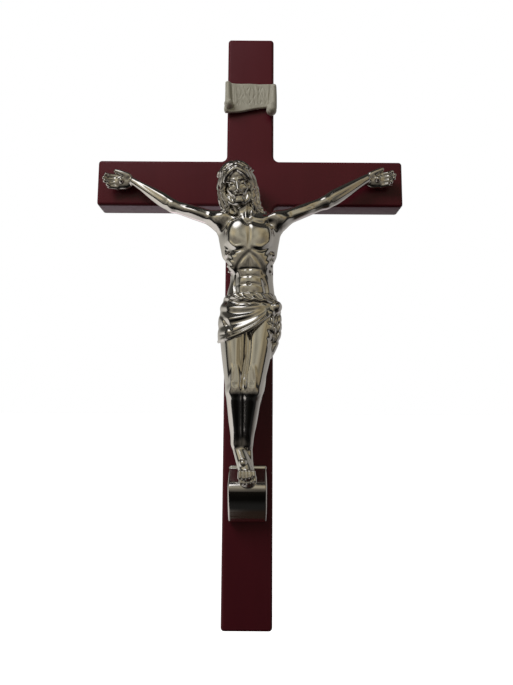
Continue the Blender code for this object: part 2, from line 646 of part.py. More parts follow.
def cross_outline(inset):
    """Corner arcs of the cross as (x, z) points, drawn in from its outline by inset."""
    half, arm = BAR_WIDTH / 2, CROSS_SPAN / 2
    top = half + HEAD_STUB
    foot = top - CROSS_HEIGHT
    corners = [
        (-half, foot, 1), (half, foot, 1), (half, -half, -1), (arm, -half, 1), (arm, half, 1), (half, half, -1),
        (half, top, 1), (-half, top, 1), (-half, half, -1), (-arm, half, 1), (-arm, -half, 1), (-half, -half, -1),
    ]  # fmt: skip
    points = []
    for i, (x, z, kind) in enumerate(corners):
        before, after = np.array(corners[i - 1][:2]), np.array(corners[(i + 1) % 12][:2])
        here = np.array((x, z))
        arrive, leave = (here - before) / np.linalg.norm(here - before), (after - here) / np.linalg.norm(after - here)
        radius = CORNER_RADIUS if kind > 0 else INNER_FILLET
        centre = here + radius * (leave - arrive)
        for step in range(ARC_STEPS + 1):
            angle = math.pi / 2 * step / ARC_STEPS
            ray = (arrive * math.sin(angle) - leave * math.cos(angle)) * (radius - kind * inset)
            points.append(centre + ray)
    return points


def cross_mesh():
    edge = [(EDGE_ROUND * (1 - math.sin(a)), EDGE_ROUND * (1 - math.cos(a))) for a in quarter_steps()]
    rings = [(inset, -rise) for rise, inset in reversed(edge)]
    rings += [(inset, rise - BAR_DEPTH) for rise, inset in edge]
    made = bmesh.new()
    loops = [[made.verts.new((x, y, z)) for x, z in cross_outline(inset)] for inset, y in rings]
    count = len(loops[0])
    for near, far in zip(loops, loops[1:]):
        for i in range(count):
            j = (i + 1) % count
            made.faces.new((near[i], near[j], far[j], far[i]))
    made.faces.new(loops[-1])
    made.faces.new(list(reversed(loops[0])))
    bmesh.ops.recalc_face_normals(made, faces=made.faces)
    mesh = bpy.data.meshes.new("cross")
    made.to_mesh(mesh)
    made.free()
    return mesh


def quarter_steps():
    return [math.pi / 2 * i / EDGE_STEPS for i in range(EDGE_STEPS + 1)]


def make_cross():
    cross = show("cross", cross_mesh(), material("red_wood", CROSS_COLOUR, 0.35, 0.0))
    made = bmesh.new()
    bmesh.ops.create_cone(
        made,
        cap_ends=True,
        segments=HOLE_SIDES,
        radius1=HANGING_HOLE_DIAMETER / 2,
        radius2=HANGING_HOLE_DIAMETER / 2,
        depth=2 * HANGING_HOLE_DEPTH,
        matrix=Matrix.Translation((0, 0, HANGING_HOLE_RISE)) @ Matrix.Rotation(math.pi / 2, 4, "X"),
    )
    drill = bpy.data.meshes.new("hanging_hole_cutter")
    made.to_mesh(drill)
    made.free()
    cutter = bpy.data.objects.new("hanging_hole_cutter", drill)
    bpy.context.scene.collection.objects.link(cutter)
    cutter.display_type = "WIRE"
    cutter.hide_render = True
    cut = cross.modifiers.new("hanging hole", "BOOLEAN")
    cut.operation = "DIFFERENCE"
    cut.solver = "EXACT"
    cut.object = cutter


def make_casting(name, clay, box, grain, unit, place, triangles, finish):
    mesh = clay.mesh(name, *box, grain, unit, place)
    mesh.polygons.foreach_set("use_smooth", [True] * len(mesh.polygons))
    casting = show(name, mesh, finish)
    thin = casting.modifiers.new("fewer faces", "DECIMATE")
    thin.ratio = triangles / (2 * len(mesh.polygons))
    return casting


def main():
    clear_scene()
    make_cross()
    front = -(BAR_DEPTH + CONTACT_GAP)
    box = ((-80.0, -1.0, -172.0), (80.0, 28.0, 10.0))
    make_casting(
        "corpus",
        figure(*box),
        box,
        FIGURE_GRAIN,
        FIGURE_HEIGHT / FIGURE_UNITS,
        (0, front, 0),
        FIGURE_TRIANGLES,
        material("bright_metal", BRIGHT_METAL_COLOUR, 0.18, 1.0),
    )
    box = ((-15.0, -1.0, -11.0), (15.0, 7.0, 12.0))
    make_casting(
        "titulus",
        scroll(*box),
        box,
        SCROLL_GRAIN,
        SCROLL_WIDTH / SCROLL_UNITS,
        (0, front, SCROLL_RISE),
        SCROLL_TRIANGLES,
        material("dull_metal", DULL_METAL_COLOUR, 0.42, 1.0),
    )


main()
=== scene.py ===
"""Dresses a wall crucifix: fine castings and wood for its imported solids, their finishes, camera and light."""

import math

import bmesh
import bpy
import numpy as np
import openvdb
from bpy.props import FloatProperty, FloatVectorProperty, IntProperty, PointerProperty
from mathutils import Euler, Matrix, Vector


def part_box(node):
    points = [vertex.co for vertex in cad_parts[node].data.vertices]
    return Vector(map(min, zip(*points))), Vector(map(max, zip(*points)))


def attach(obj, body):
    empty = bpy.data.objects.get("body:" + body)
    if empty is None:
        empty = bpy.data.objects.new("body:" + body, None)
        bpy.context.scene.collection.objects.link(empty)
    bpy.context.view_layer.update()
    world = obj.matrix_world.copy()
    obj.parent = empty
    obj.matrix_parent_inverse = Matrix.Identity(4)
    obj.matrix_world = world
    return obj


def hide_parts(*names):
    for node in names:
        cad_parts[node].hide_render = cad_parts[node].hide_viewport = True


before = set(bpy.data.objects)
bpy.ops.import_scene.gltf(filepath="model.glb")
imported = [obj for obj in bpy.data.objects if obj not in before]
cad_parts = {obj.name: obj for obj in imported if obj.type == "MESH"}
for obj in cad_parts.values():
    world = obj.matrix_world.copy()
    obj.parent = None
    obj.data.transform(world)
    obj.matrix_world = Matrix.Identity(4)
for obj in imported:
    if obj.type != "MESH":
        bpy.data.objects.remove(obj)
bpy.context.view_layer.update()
CROSS_LOW, CROSS_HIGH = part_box("cross")
FIGURE_LOW, FIGURE_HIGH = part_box("corpus")
SCROLL_LOW, SCROLL_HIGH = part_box("titulus")

bl_info = {
    "name": "Wall Crucifix",
    "version": (1, 0, 0),
    "blender": (4, 5, 0),
    "location": "View3D > Sidebar > Crucifix",
    "description": "Models the fine castings and the wood of a wall crucifix and sets it before a camera",
    "category": "Add Mesh",
}

# Distances are kept to FAR at most, and a form changes the clay up to REACH beyond its blend.
# The figure is FIGURE_UNITS tall, and the scroll SCROLL_UNITS wide.
FAR = 6.0
REACH = 1.5
FIGURE_UNITS = 155.0
SCROLL_UNITS = 27.6


# Clay: a solid that grows form by form.
# A form is (low corner, high corner, distance), where distance((x, y, z)) is negative inside it.
# In the castings x runs to the viewer's right, y out from the cross's face and z up.


def smooth_least(a, b, soft):
    meet = np.maximum(soft - np.abs(a - b), 0.0)
    return np.minimum(a, b) - meet * meet / (4.0 * soft)


def eased(at, places, values):
    """A smooth curve through values, read at each number in at."""
    places = np.asarray(places, float)
    values = np.asarray(values, float)
    at = np.clip(at, places[0], places[-1])
    left = np.clip(np.searchsorted(places, at, side="right") - 1, 0, len(places) - 2)
    slopes = np.gradient(values, places)
    span = places[left + 1] - places[left]
    t = (at - places[left]) / span
    start = (1 + 2 * t) * (1 - t) ** 2 * values[left] + t * (1 - t) ** 2 * span * slopes[left]
    end = t * t * (3 - 2 * t) * values[left + 1] + t * t * (t - 1) * span * slopes[left + 1]
    return start + end


def ellipse_distance(across, radii):
    """About how far outside an ellipsoid the offsets across are."""
    near = sum((a / r) ** 2 for a, r in zip(across, radii)) + 1e-9
    steep = sum((a / (r * r)) ** 2 for a, r in zip(across, radii)) + 1e-9
    return (np.sqrt(near) - 1.0) * np.sqrt(near) / np.sqrt(steep)


def ball(centre, radii, turn=(0, 0, 0)):
    """An ellipsoid, turned by angles in degrees about x, y and z."""
    radii = (radii,) * 3 if isinstance(radii, (int, float)) else radii
    into = np.array(Euler([math.radians(a) for a in turn]).to_matrix().transposed())
    reach = max(radii)

    def distance(p):
        offset = [p[i] - centre[i] for i in range(3)]
        local = [sum(into[i, k] * offset[k] for k in range(3)) for i in range(3)]
        return ellipse_distance(local, radii)

    low = [c - reach for c in centre]
    high = [c + reach for c in centre]
    return low, high, distance


def limb(start, end, stations, depth=1.0):
    """A round-ended bar. stations are (share of its length, half width), or only half widths at even
    shares. depth scales it outwards."""
    if not isinstance(stations[0], tuple):
        stations = list(zip(np.linspace(0, 1, len(stations)), stations))
    start, end = np.array(start, float), np.array(end, float)
    length = np.linalg.norm(end - start)
    along = (end - start) / length
    reference = np.array([0.0, 1.0, 0.0] if abs(along[1]) < 0.9 else [0.0, 0.0, 1.0])
    outward = reference - (reference @ along) * along
    outward /= np.linalg.norm(outward)
    side = np.cross(along, outward)
    shares = [s for s, _ in stations]
    widths = [w for _, w in stations]
    reach = max(widths) * max(1.0, depth)

    def distance(p):
        offset = [p[i] - start[i] for i in range(3)]
        run, out, across = (sum(v[i] * offset[i] for i in range(3)) for v in (along, outward, side))
        width = eased(run / length, shares, widths)
        past = np.maximum(-run, 0.0) + np.maximum(run - length, 0.0)
        return ellipse_distance((across, out, past), (width, width * depth, width))

    return np.minimum(start, end) - reach, np.maximum(start, end) + reach, distance


def column(stations, power=2.0):
    """An upright form. stations are (z, centre x, half width, centre y, half depth), from the top down."""
    z, cx, width, cy, depth = (np.array(row[::-1], float) for row in zip(*stations))

    def distance(p):
        wide, deep = eased(p[2], z, width), eased(p[2], z, depth)
        x = np.abs(p[0] - eased(p[2], z, cx)) / wide
        y = np.abs(p[1] - eased(p[2], z, cy)) / deep
        around = ((x**power + y**power + 1e-9) ** (1 / power) - 1.0) * np.minimum(wide, deep)
        past = np.maximum(p[2] - z[-1], z[0] - p[2])
        return np.maximum(around, past)

    low = [(cx - width).min(), (cy - depth).min(), z[0]]
    high = [(cx + width).max(), (cy + depth).max(), z[-1]]
    return low, high, distance


def curve_through(points, pieces=6):
    """Points of a smooth curve through a few."""
    points = np.array(points, float)
    at = np.linspace(0, len(points) - 1, pieces * (len(points) - 1) + 1)
    return np.stack([eased(at, range(len(points)), points[:, i]) for i in range(points.shape[1])], axis=1)


def distance_to_path(coordinates, path):
    """Distance to an open path, and how far along it the nearest point is, from 0 to 1."""
    nearest, share = FAR * FAR, 0.0
    for i, (a, b) in enumerate(zip(path[:-1], path[1:])):
        run = b - a
        offset = [c - a[k] for k, c in enumerate(coordinates)]
        t = np.clip(sum(offset[k] * run[k] for k in range(len(a))) / (run @ run), 0, 1)
        gap = sum((offset[k] - t * run[k]) ** 2 for k in range(len(a)))
        share = np.where(gap < nearest, (i + t) / (len(path) - 1), share)
        nearest = np.minimum(gap, nearest)
    return np.sqrt(nearest), share


def rope(path, thickness, taper=0.0):
    """A round form along a path, thinner at its ends by taper."""

    def distance(p):
        gap, share = distance_to_path(p, path)
        return gap - thickness * (1.0 - taper * np.abs(2.0 * share - 1.0) ** 2)

    return path.min(0) - thickness, path.max(0) + thickness, distance


def strand(points, thickness, taper=0.5):
    """A rope along the smooth path through a few points."""
    return rope(curve_through(points, 4), thickness, taper)


def placed(form, centre, turn):
    """A form in a part's own coordinates, turned by the matrix turn and moved to centre."""
    low, high, inner = form
    corners = np.array([[(low, high)[i >> k & 1][k] for k in range(3)] for i in range(8)])
    corners = corners @ turn.T + centre

    def distance(p):
        offset = [p[i] - centre[i] for i in range(3)]
        return inner([sum(turn[i, k] * offset[i] for i in range(3)) for k in range(3)])

    return corners.min(0), corners.max(0), distance


class Clay:
    """Steps that build a solid, in order. Each is (low corner, high corner, change)."""

    def __init__(self):
        self.steps = []

    def step(self, low, high, margin, change):
        self.steps.append((np.array(low, float) - margin, np.array(high, float) + margin, change))

    def join(self, form, soft=0.6):
        low, high, distance = form
        self.step(low, high, soft + REACH, lambda p, v: smooth_least(v, distance(p), soft))

    def carve(self, form, soft=0.5):
        low, high, distance = form
        self.step(low, high, soft + REACH, lambda p, v: -smooth_least(-v, distance(p), soft))

    def line(self, points, width, height, low_y=8.0, high_y=40.0):
        """Raises a ridge, or cuts a groove if height is negative, along a path in the front view (x, z)."""
        path = curve_through(points)

        def change(p, value):
            gap, share = distance_to_path((p[0], p[2]), path)
            fade = np.sin(np.pi * (0.08 + 0.84 * share)) ** 0.7
            return value - height * np.exp(-((gap / width) ** 2)) * fade

        low = [path[:, 0].min(), low_y, path[:, 1].min()]
        high = [path[:, 0].max(), high_y, path[:, 1].max()]
        self.step(low, high, 2.2 * width, change)

    def sampled(self, low, high, grain):
        axes = [np.arange(a, b + grain, grain) for a, b in zip(low, high)]
        value = np.full([len(axis) for axis in axes], FAR, float)
        for box_low, box_high, change in self.steps:
            cut = tuple(slice(*np.searchsorted(axis, (a, b))) for axis, a, b in zip(axes, box_low, box_high))
            block = value[cut]
            if block.size:
                points = np.meshgrid(*(axis[c] for axis, c in zip(axes, cut)), indexing="ij", sparse=True)
                value[cut] = change(points, block)
        return value

    def mesh(self, name, low, high, grain, unit, place):
        """The clay's skin as a mesh. One unit of clay is unit metres, and place is its origin."""
        value = np.clip(self.sampled(low, high, grain), -FAR, FAR)
        grid = openvdb.FloatGrid(FAR)
        grid.copyFromArray(value.astype(np.float32))
        points, _, quads = grid.convertToPolygons(0.0)
        local = np.array(low) + np.array(points) * grain
        # Clay y points out from the cross, which is the model's -Y, so the faces turn round with it.
        world = local * (unit, -unit, unit) + np.array(place)
        return closed_skin(name, world, np.array(quads))


def mesh_from(made, name):
    mesh = bpy.data.meshes.new(name)
    made.to_mesh(mesh)
    made.free()
    return mesh


def closed_skin(name, points, quads):
    """A mesh of the largest shell of the quads, facing outwards."""
    made = bmesh.new()
    verts = [made.verts.new(point) for point in points.tolist()]
    for quad in quads.tolist():
        made.faces.new([verts[i] for i in quad])
    made.verts.index_update()
    shell = np.full(len(verts), -1)
    for seed in verts:
        if shell[seed.index] >= 0:
            continue
        shell[seed.index] = seed.index
        front = [seed]
        while front:
            for edge in front.pop().link_edges:
                for vert in edge.verts:
                    if shell[vert.index] < 0:
                        shell[vert.index] = seed.index
                        front.append(vert)
    largest = np.bincount(shell).argmax()
    bmesh.ops.delete(made, geom=[v for v in verts if shell[v.index] != largest], context="VERTS")
    if made.calc_volume(signed=True) < 0:
        bmesh.ops.reverse_faces(made, faces=made.faces)
    return mesh_from(made, name)


# Figure


# The head follows the usual canon: seven and a half heads to the figure, and a face of three equal
# thirds with half a third of skull above. Its own coordinates start at the middle of the eye line.
HEAD_HEIGHT = FIGURE_UNITS / 7.5
FACE_THIRD = HEAD_HEIGHT / 3.5
CHIN = -HEAD_HEIGHT / 2
NOSE_BASE = CHIN + FACE_THIRD
BROW = NOSE_BASE + FACE_THIRD
MOUTH = NOSE_BASE - FACE_THIRD / 3
HALF_FACE = HEAD_HEIGHT / 3
EYE_WIDTH = 2 * HALF_FACE / 5

HEAD_CENTRE = np.array([-6.1, 12.4, -7.4])
HEAD_LEAN = 8.0
HEAD_BOW = 12.0
CAP_CENTRE, CAP_RADII = (0.0, -1.8, 3.6), (8.7, 8.7, 9.0)
CROWN_BACK, CROWN_RISE = 1.6, 6.3


# Each lock: points along it, in the head's own coordinates, and its thickness.
HAIR_LOCKS = (
    ([(-4.8, 6.3, 5.8), (-6.7, 4.8, 1.6), (-7.3, 4.1, -3.5), (-5.8, 4.8, -8.0), (-6.8, 4.8, -12.5)], 1.5),
    ([(-5.8, 3.2, 6.5), (-8.1, 1.3, 1.1), (-8.5, 0.9, -4.3), (-7.8, 1.5, -9.7), (-7.4, 2.6, -13.4)], 1.8),
    ([(-5.4, -1.1, 6.5), (-7.8, -2.8, 0.0), (-7.8, -3.0, -6.5), (-6.9, -1.7, -13.0)], 2.3),
    ([(4.8, 6.3, 5.8), (6.5, 5.1, 1.1), (6.9, 4.5, -4.3), (6.8, 4.8, -9.7), (8.0, 4.5, -14.0)], 1.5),
    ([(5.8, 3.2, 6.5), (8.2, 1.7, 1.1), (8.9, 1.3, -5.4), (9.1, 1.9, -10.8), (10.6, 2.4, -14.7)], 1.8),
    ([(5.4, -1.1, 6.5), (7.8, -2.8, 0.0), (8.2, -3.0, -6.5), (8.4, -1.7, -13.0)], 2.3),
)


def head_tools(clay):
    """Joins and cuts forms in the head's own coordinates, where y points out of the face and z up."""
    lean = Matrix.Rotation(math.radians(-HEAD_LEAN), 3, "Y")
    bow = Matrix.Rotation(math.radians(-HEAD_BOW), 3, "X")
    turn = np.array(lean @ bow)

    def put(form, soft):
        clay.join(placed(form, HEAD_CENTRE, turn), soft)

    def cut(form, soft):
        clay.carve(placed(form, HEAD_CENTRE, turn), soft)

    return put, cut


def add_head(clay):
    """Skull, face, beard and hair."""
    put, cut = head_tools(clay)
    put(ball((0, -0.8, HEAD_HEIGHT / 2 - 7.3), (HALF_FACE, 8.4, 7.3)), 1.0)
    put(ball((0, 2.8, -3.0), (0.78 * HALF_FACE, 5.3, 7.0)), 1.5)
    put(ball((0, 5.3, BROW + 0.4 * FACE_THIRD), (0.7 * HALF_FACE, 2.5, 0.5 * FACE_THIRD)), 1.2)
    for side in (-1, 1):
        eye = side * EYE_WIDTH
        put(ball((1.25 * eye, 5.5, 0.6 * NOSE_BASE), (1.9, 1.9, 1.7)), 1.0)
        put(limb((side * 0.9, 7.5, BROW), (1.6 * eye, 6.3, BROW - 0.2), (0.75, 0.6)), 0.8)
        cut(ball((eye, 8.4, 0.0), (0.65 * EYE_WIDTH, 1.5, 1.1)), 0.7)
        put(ball((eye, 6.4, -0.1), (0.52 * EYE_WIDTH, 1.3, 1.0)), 0.3)
    put(limb((0, 7.5, BROW - 0.5), (0, 9.3, NOSE_BASE + 0.8), [(0, 0.65), (0.7, 0.85), (1, 1.0)]), 0.5)
    for side in (-1, 1):
        put(ball((side * 0.36 * EYE_WIDTH, 8.1, NOSE_BASE + 0.6), 0.72), 0.4)
    lips = 0.55 * EYE_WIDTH
    put(limb((-lips, 7.5, MOUTH), (lips, 7.5, MOUTH), (0.45, 0.7, 0.45)), 0.4)
    put(ball((0, 6.0, CHIN + 1.9), (3.2, 2.6, 2.5)), 0.8)
    for side in (-1, 1):
        upper = ((0.2, 8.2, NOSE_BASE - 0.9), (1.6, 7.9, MOUTH + 1.0), (2.9, 7.0, MOUTH + 0.4))
        put(strand([(side * x, y, z) for x, y, z in upper], 0.65), 0.4)
        jaw = ((4.7, 4.4, NOSE_BASE + 0.2), (4.2, 5.7, MOUTH - 1.4), (1.1, 6.6, CHIN + 0.4))
        put(strand([(side * x, y, z) for x, y, z in jaw], 1.3), 0.6)
    add_hair(put)
    add_thorns(put)


def add_hair(put):
    """Long locks that part at the brow and fall beside the face to the shoulders."""
    put(ball(CAP_CENTRE, CAP_RADII), 0.5)
    for side in (-1, 1):
        parting = [(side * 0.6, 7.7, 6.8), (side * 3.5, 7.5, 4.6), (side * 5.7, 6.1, 1.8)]
        put(strand(parting, 1.3, 0.3), 0.4)
    for points, thickness in HAIR_LOCKS:
        put(strand(points, thickness, 0.35), 0.4)


def add_thorns(put):
    """The crown: two stems that wind round each other about the brow."""
    turns, stem = 7, 0.85
    around = np.linspace(0, 2 * math.pi, 12 * turns + 1)
    for start in (0.0, math.pi):
        winding = turns * around + start
        swell = 1 + 0.06 * np.cos(winding)
        x, y = 8.2 * swell * np.sin(around), 8.9 * swell * np.cos(around) - CROWN_BACK
        put(rope(np.stack([x, y, CROWN_RISE + 0.8 * np.sin(winding)], axis=1), stem), 0.3)


# Rows of column()
TRUNK = (
    (-20.0, 0.0, 7.0, 9.5, 4.5),
    (-25.0, 0.0, 12.6, 9.6, 6.9),
    (-32.0, 0.0, 12.9, 9.8, 8.2),
    (-40.0, 0.3, 12.0, 9.8, 8.4),
    (-47.0, 0.9, 11.0, 9.4, 7.7),
    (-54.0, 1.4, 10.4, 9.0, 7.0),
    (-60.0, 1.0, 11.4, 9.0, 7.4),
    (-68.0, 0.5, 13.0, 9.2, 7.8),
    (-76.0, 0.2, 13.0, 9.2, 7.8),
)
CLOTH = (
    (-61.5, 0.8, 12.2, 9.4, 8.2),
    (-66.0, 0.6, 14.0, 9.6, 9.2),
    (-72.0, 0.4, 14.7, 9.8, 9.9),
    (-78.0, 0.0, 14.7, 10.2, 10.0),
    (-86.0, -0.4, 14.0, 10.6, 10.0),
)


def add_torso(clay):
    """The trunk, the neck, then chest, belly and collarbones."""
    clay.join(column(TRUNK, power=2.05), 1.5)
    clay.join(limb((-3.0, 12.0, -17.0), (-0.6, 9.6, -27.0), [(0, 4.3), (0.6, 4.2), (1, 5.5)]), 2.5)
    clay.join(limb((-8.4, 10.0, -11.0), (-9.2, 10.4, -21.0), (3.4, 3.6)), 1.6)
    for side in (-1, 1):
        clay.join(ball((side * 5.1, 14.9, -33.8), (5.6, 2.7, 7.4), (0, side * 8, 0)), 2.4)
        clay.join(ball((side * 5.2, 13.9, -45.6), (5.0, 2.8, 5.4), (0, side * -20, 0)), 2.6)
        clay.join(limb((side * 2.6 - 3.2, 8.4, -13.5), (side * 8.6, 8.8, -23.5), (3.6, 3.2)), 1.6)
        inner, outer = (side * 1.8, 14.6, -26.0), (side * 12.0, 13.4, -23.0)
        clay.join(limb(inner, outer, (1.2, 1.0, 1.3)), 1.4)
    clay.join(ball((0.8, 13.0, -56.5), (6.4, 3.6, 10.0)), 2.0)


def add_arms(clay):
    """Upper arms, forearms and hands. Each arm is listed by its joints, from the shoulder out."""
    joints = {
        -1: ((-14.5, 9.8, -24.0), (-38.0, 8.2, -15.9), (-59.3, 4.4, -1.6)),
        1: ((14.5, 9.8, -23.6), (38.0, 8.2, -13.5), (59.0, 4.8, 0.2)),
    }
    forearms = {
        -1: [(0, 3.2), (0.2, 3.6), (0.45, 3.2), (0.8, 2.3), (1, 1.9)],
        1: [(0, 3.4), (0.2, 3.8), (0.45, 3.5), (0.8, 2.8), (1, 2.4)],
    }
    upper_arm = [(0, 4.0), (0.25, 3.6), (0.55, 3.4), (0.85, 3.1), (1, 3.2)]
    for side, (shoulder, elbow, wrist) in joints.items():
        clay.join(ball((side * 14.2, 10.2, -24.2), (5.0, 4.8, 4.4)), 2.6)
        clay.join(limb(shoulder, elbow, upper_arm, 1.05), 3.4)
        clay.join(limb(elbow, wrist, forearms[side], 0.95), 1.2)
        clay.join(limb((side * 12.6, 8.6, -27.0), (side * 10.8, 9.0, -41.0), (2.7, 1.6)), 4.5)
    add_hand(clay, -1, (-59.0, 4.2, -1.4), 2.0)
    add_hand(clay, 1, (58.6, 4.4, -0.4), 7.0)


def add_hand(clay, side, wrist, lift):
    """An open hand with its palm to the viewer and a nail through it. lift turns it up, in degrees."""
    angle = math.radians(lift)
    along = np.array([side * math.cos(angle), 0.0, math.sin(angle)])
    across = np.array([-side * math.sin(angle), 0.0, math.cos(angle)])
    root = np.array([wrist[0], 0.0, wrist[2]])

    def at(run, rise, out):
        return root + run * along + rise * across + np.array([0.0, out, 0.0])

    clay.join(limb(at(0.2, 0, 3.4), at(7.2, 0.2, 2.6), [(0, 2.1), (0.4, 3.7), (1, 4.2)], 0.52), 1.0)
    clay.join(ball(at(3.4, 2.2, 4.0), (2.6, 1.6, 1.6)), 0.8)
    clay.join(limb(at(3.0, 2.8, 4.2), at(9.2, 4.7, 4.6), (1.6, 1.5, 1.15)), 0.4)
    for finger in range(4):
        rise = 2.7 - 1.9 * finger
        reach = (14.6, 15.6, 15.0, 13.4)[finger]
        knuckle, middle = at(8.4, rise, 2.8), at(12.6, 0.98 * rise, 3.6)
        tip = at(reach - 0.8, 0.88 * rise, 5.6)
        clay.join(limb(knuckle, middle, (1.25, 1.2)), 0.35)
        clay.join(limb(middle, tip, (1.2, 1.0)), 0.3)
    clay.join(limb(at(6.2, -0.2, 0.4), at(6.2, -0.2, 4.9), (1.5, 1.5)), 0.25)


def add_legs(clay):
    """Each leg by its joints, how far its flank lies outwards and how broad its shin is."""
    legs = (
        (-1, (-6.4, 9.6, -72.0), (-5.6, 17.4, -107.6), (-4.7, 8.6, -131.6), 0.8, 0.4),
        (1, (6.4, 9.6, -72.0), (1.8, 17.6, -107.6), (-0.4, 8.2, -132.0), 1.9, 0.9),
    )
    for side, hip, knee, ankle, flank, breadth in legs:
        for muscle in (-1.0, 1.0):
            upper = (hip[0] + 1.6 * muscle, hip[1] + 0.8, hip[2])
            middle = (knee[0] + breadth * muscle, knee[1] + 0.1, knee[2])
            lower = (ankle[0] + 0.3 * muscle, ankle[1], ankle[2])
            clay.join(limb(upper, middle, [(0, 6.0), (0.35, 5.8), (0.7, 4.9), (1, 4.0)]), 1.0)
            clay.join(limb(middle, lower, [(0, 4.0), (0.3, 3.6), (0.6, 3.0), (0.9, 2.4), (1, 2.5)]), 1.2)
        back = (knee[0] + side * flank, knee[1] - 5.6, knee[2] + 2.0)
        clay.join(limb((hip[0] + side * 0.6, 8.0, -74.0), back, (6.4, 5.2, 3.9)), 1.6)
        calf = (knee[0] + side * flank, knee[1] - 5.8, knee[2] + 4.0)
        clay.join(limb(calf, ankle, [(0, 3.5), (0.35, 3.9), (0.6, 3.3), (0.85, 2.4), (1, 2.3)]), 2.4)
    clay.join(limb((0.0, 9.0, -78.0), (-1.8, 12.6, -106.0), (5.0, 3.4)), 1.6)
    clay.join(limb((-1.9, 14.8, -106.0), (-2.5, 7.8, -130.0), (2.8, 2.2)), 1.2)


def add_feet(clay):
    """Crossed feet with one nail: the lower one first, then the one that lies over it."""
    lower_toes = (0.3, 11.6, -147.4)
    upper_toes = (-0.2, 13.6, -144.9)
    clay.join(limb((-0.5, 7.6, -133.4), lower_toes, (2.9, 2.9, 3.6), 0.7), 1.0)
    clay.join(limb((-4.6, 8.8, -133.0), upper_toes, (2.7, 3.1, 3.4), 0.72), 0.8)
    clay.join(ball((0.3, 10.8, -149.0), (3.8, 2.2, 2.6)), 0.6)
    for toes, out in ((lower_toes, 2.3), (upper_toes, 2.0)):
        for toe in range(5):
            spread = 1.55 * (toe - 2)
            start = (toes[0] + spread, toes[1] + out - 0.3, toes[2] + 1.0)
            end = (toes[0] + 1.04 * spread, toes[1] + out + 0.2, toes[2] - 1.6 + 0.12 * (toe - 1) ** 2)
            clay.join(limb(start, end, (0.95, 0.95)), 0.12)
    clay.join(ball((-2.0, 13.8, -140.2), (1.8, 1.5, 1.8)), 0.2)


def add_loincloth(clay):
    """Cloth wound about the hips, with a rolled waist and a hem that climbs to the viewer's right."""
    low, high, wound = column(CLOTH, power=2.2)
    hem = np.array(
        [(-16, -84.2), (-12.4, -83.4), (-3.8, -81.2), (2, -78.0), (8.3, -73.4), (12, -71.6), (17, -71.0)]
    )

    def distance(p):
        return np.maximum(wound(p), 0.85 * (eased(p[0], hem[:, 0], hem[:, 1]) - p[2]))

    clay.join((low, high, distance), 0.5)
    waist = [(-11.0, 9.4, -63.6), (-9.0, 15.6, -63.9), (-2.0, 18.4, -65.0)]
    waist += [(6.5, 17.6, -65.4), (12.6, 13.4, -65.8)]
    clay.join(strand(waist, 1.6, 0.3), 0.5)
    edge = [(-14.2, 9.5, -84.0), (-11.0, 17.3, -83.6), (-3.8, 20.2, -81.2), (2.4, 20.0, -77.8)]
    edge += [(8.3, 18.0, -73.2), (12.4, 14.4, -70.6)]
    clay.join(strand(edge, 1.0, 0.3), 0.4)


def add_knot(clay):
    """The knot at the viewer's right and the loose end of the cloth that hangs from it."""
    clay.join(ball((12.9, 13.2, -67.8), (3.0, 3.4, 3.2), (0, 30, 0)), 0.6)
    outer = [(13.6, 11.0, -69.0), (13.4, 11.6, -74.5), (13.0, 11.2, -80.0)]
    outer += [(11.6, 11.0, -85.5), (9.8, 11.0, -90.4)]
    clay.join(strand(outer, 2.7, 0.3), 0.6)
    inner = [(12.2, 14.2, -69.5), (11.2, 15.4, -75.0), (11.4, 15.0, -80.5), (9.6, 14.6, -86.0)]
    clay.join(strand(inner, 1.7, 0.4), 0.5)


# Lines cut into the body: the path in the front view, its width and its height.
BODY_LINES = (
    (((-10.9, -38.0), (-7.1, -41.0), (-2.6, -40.6)), 0.9, -0.55),
    (((1.6, -40.6), (6.2, -41.2), (10.4, -38.4)), 0.9, -0.55),
    (((0.1, -28.5), (0.2, -34.0), (0.0, -39.5)), 0.8, -0.35),
    (((0.2, -44.5), (0.2, -49.0), (0.1, -55.0)), 0.8, -0.25),
    (((0.0, -42.2), (-2.9, -44.9), (-5.2, -48.6), (-6.0, -52.0)), 0.9, -0.5),
    (((0.4, -42.2), (3.5, -44.9), (5.9, -48.5), (6.8, -52.0)), 0.9, -0.5),
    (((-4.8, -50.2), (0.4, -49.8), (5.6, -50.2)), 0.6, -0.35),
    (((-4.8, -53.6), (0.4, -53.2), (5.8, -53.6)), 0.6, -0.3),
    (((-5.6, -53.0), (-6.2, -58.0), (-5.2, -62.6)), 0.9, -0.6),
    (((6.6, -54.6), (7.8, -58.6), (8.4, -62.2)), 0.8, -0.6),
)
RIB_TOPS = (-39.8, -42.7, -45.5, -48.4)

CLOTH_FOLDS = (
    ((11.2, -66.2), (3.1, -66.8), (-5.8, -66.8), (-12.8, -64.8)),
    ((10.4, -67.8), (1.7, -70.6), (-5.7, -71.2), (-13.7, -70.0)),
    ((9.9, -68.8), (0.8, -74.0), (-7.6, -76.6), (-13.6, -77.8)),
)


